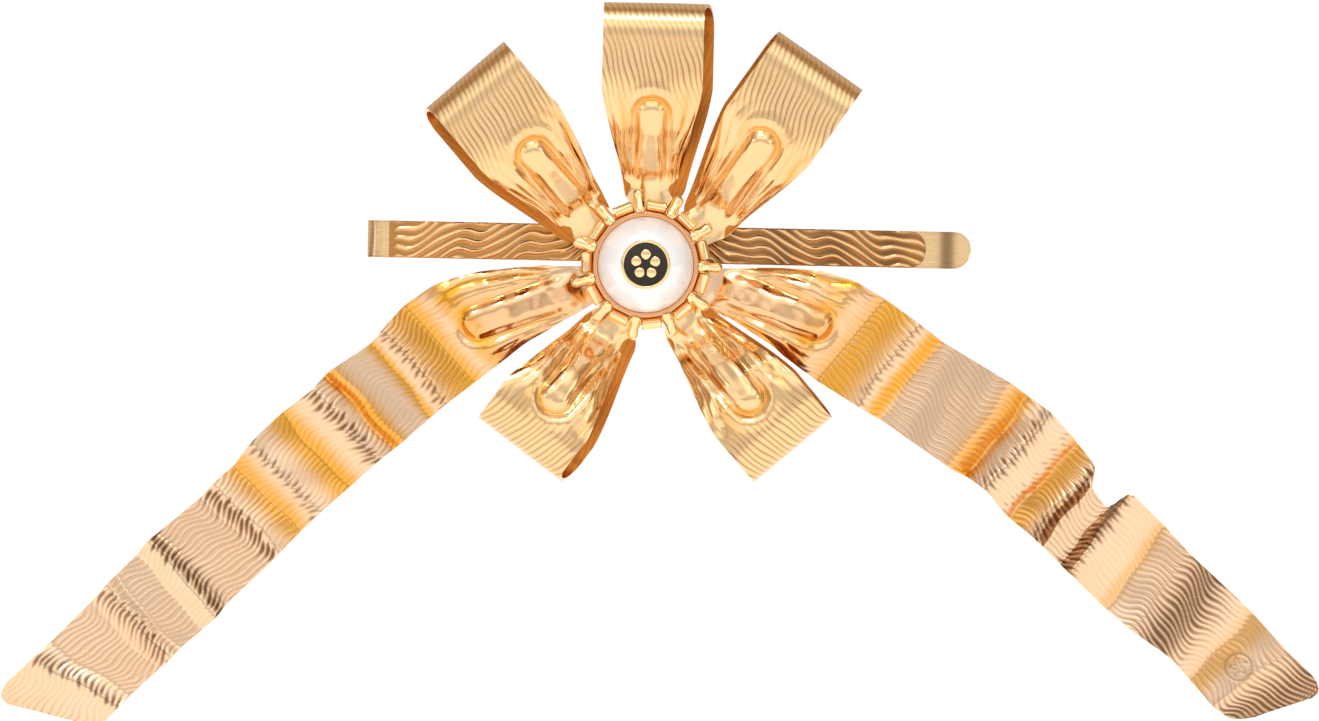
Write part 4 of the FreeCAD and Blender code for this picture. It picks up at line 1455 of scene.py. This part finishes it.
class HAIRSLIDE_OT_collar(bpy.types.Operator):
    """Makes the cup, the claws and the bars round the pearl"""

    bl_idname = "hairslide.collar"
    bl_label = "Pearl collar"

    def execute(self, context):
        collar = sizes("collar")
        turned_piece("pearl_cup_bright", "pearl_cup", cup_profile(), "cup_painted_orange_reflection", CUP_SIDES)
        radius = CUP_RADIUS + COLLAR_GAP
        half_turn = 180 / collar.count
        rings = (
            ("collar_claws", "claw_prongs", claw_source(), collar.start_angle),
            ("collar_short_bars", "collar_bars", bar_source(), collar.start_angle + half_turn),
        )
        for name, node, source, angle in rings:
            ring_of(name, node, source, collar.count, radius, angle)
        for node in ("backing_plate", "bow_rivets", "tang_spacer", "pearl_peg"):
            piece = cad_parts[node]
            piece.data.materials.clear()
            piece.data.materials.append(material("plain_plating"))
        return {"FINISHED"}


class HAIRSLIDE_OT_pearl(bpy.types.Operator):
    """Makes the pearl and the flower badge on it"""

    bl_idname = "hairslide.pearl"
    bl_label = "Pearl and badge"

    def execute(self, context):
        pearl = turned_piece("pearl_button", "pearl", pearl_profile(), "pearl_nacre", PEARL_SIDES)
        front = front_of("emblem_badge")
        rim = radius_of("emblem_badge") - BADGE_RIM
        floor = front - BADGE_RIM
        dish = badge_profile(rim, floor)
        badge = turned_piece("badge_dish", "emblem_badge", dish, "collar_plating", CUP_SIDES)
        surface = front_of("emblem_enamel")
        edge = rim - 0.01
        pool = [(0, floor), (edge, floor), (edge, surface + 0.02), (rim - 0.3, surface - 0.02)]
        pool.append((0, surface - 0.03))
        enamel = turned_piece("badge_enamel", "emblem_enamel", pool, "glass_enamel", CUP_SIDES)
        petal = petal_source(surface - 0.04, front)
        ring_of("badge_flower", "emblem_flower", petal, PETALS, 0.02, 90.0)
        return {"FINISHED"}


class HAIRSLIDE_OT_stage(bpy.types.Operator):
    """Makes the floor, the light and the camera"""

    bl_idname = "hairslide.stage"
    bl_label = "Floor, light and camera"

    def execute(self, context):
        context.scene.view_settings.view_transform = "Standard"
        make_floor()
        make_world()
        make_lights()
        make_camera()
        return {"FINISHED"}


OPERATORS = (
    HAIRSLIDE_OT_loops,
    HAIRSLIDE_OT_tails,
    HAIRSLIDE_OT_clip,
    HAIRSLIDE_OT_collar,
    HAIRSLIDE_OT_pearl,
    HAIRSLIDE_OT_stage,
)


class HAIRSLIDE_PT_panel(bpy.types.Panel):
    """Lists the slide's sizes, colours and pieces"""

    bl_label = "Hair Slide"
    bl_space_type = "VIEW_3D"
    bl_region_type = "UI"
    bl_category = "Hair Slide"

    def draw(self, context):
        for name in GROUPS:
            box = self.layout.box()
            group = getattr(context.scene, "hair_slide_" + name)
            for field in group.__annotations__:
                box.prop(group, field)
        for operator in OPERATORS:
            self.layout.operator(operator.bl_idname)


GROUPS = {"ribbon": RibbonSizes, "clip": ClipSizes, "collar": CollarSizes, "colours": Colours}


def register():
    for item in (*GROUPS.values(), *OPERATORS, HAIRSLIDE_PT_panel):
        bpy.utils.register_class(item)
    for name, group in GROUPS.items():
        setattr(bpy.types.Scene, "hair_slide_" + name, PointerProperty(type=group))


def unregister():
    for name in GROUPS:
        delattr(bpy.types.Scene, "hair_slide_" + name)
    for item in (HAIRSLIDE_PT_panel, *reversed(OPERATORS), *reversed(list(GROUPS.values()))):
        bpy.utils.unregister_class(item)


def main():
    register()
    bpy.ops.hairslide.loops()
    bpy.ops.hairslide.tails()
    bpy.ops.hairslide.clip()
    bpy.ops.hairslide.collar()
    bpy.ops.hairslide.pearl()
    bpy.ops.hairslide.stage()


if __name__ == "__main__":
    main()
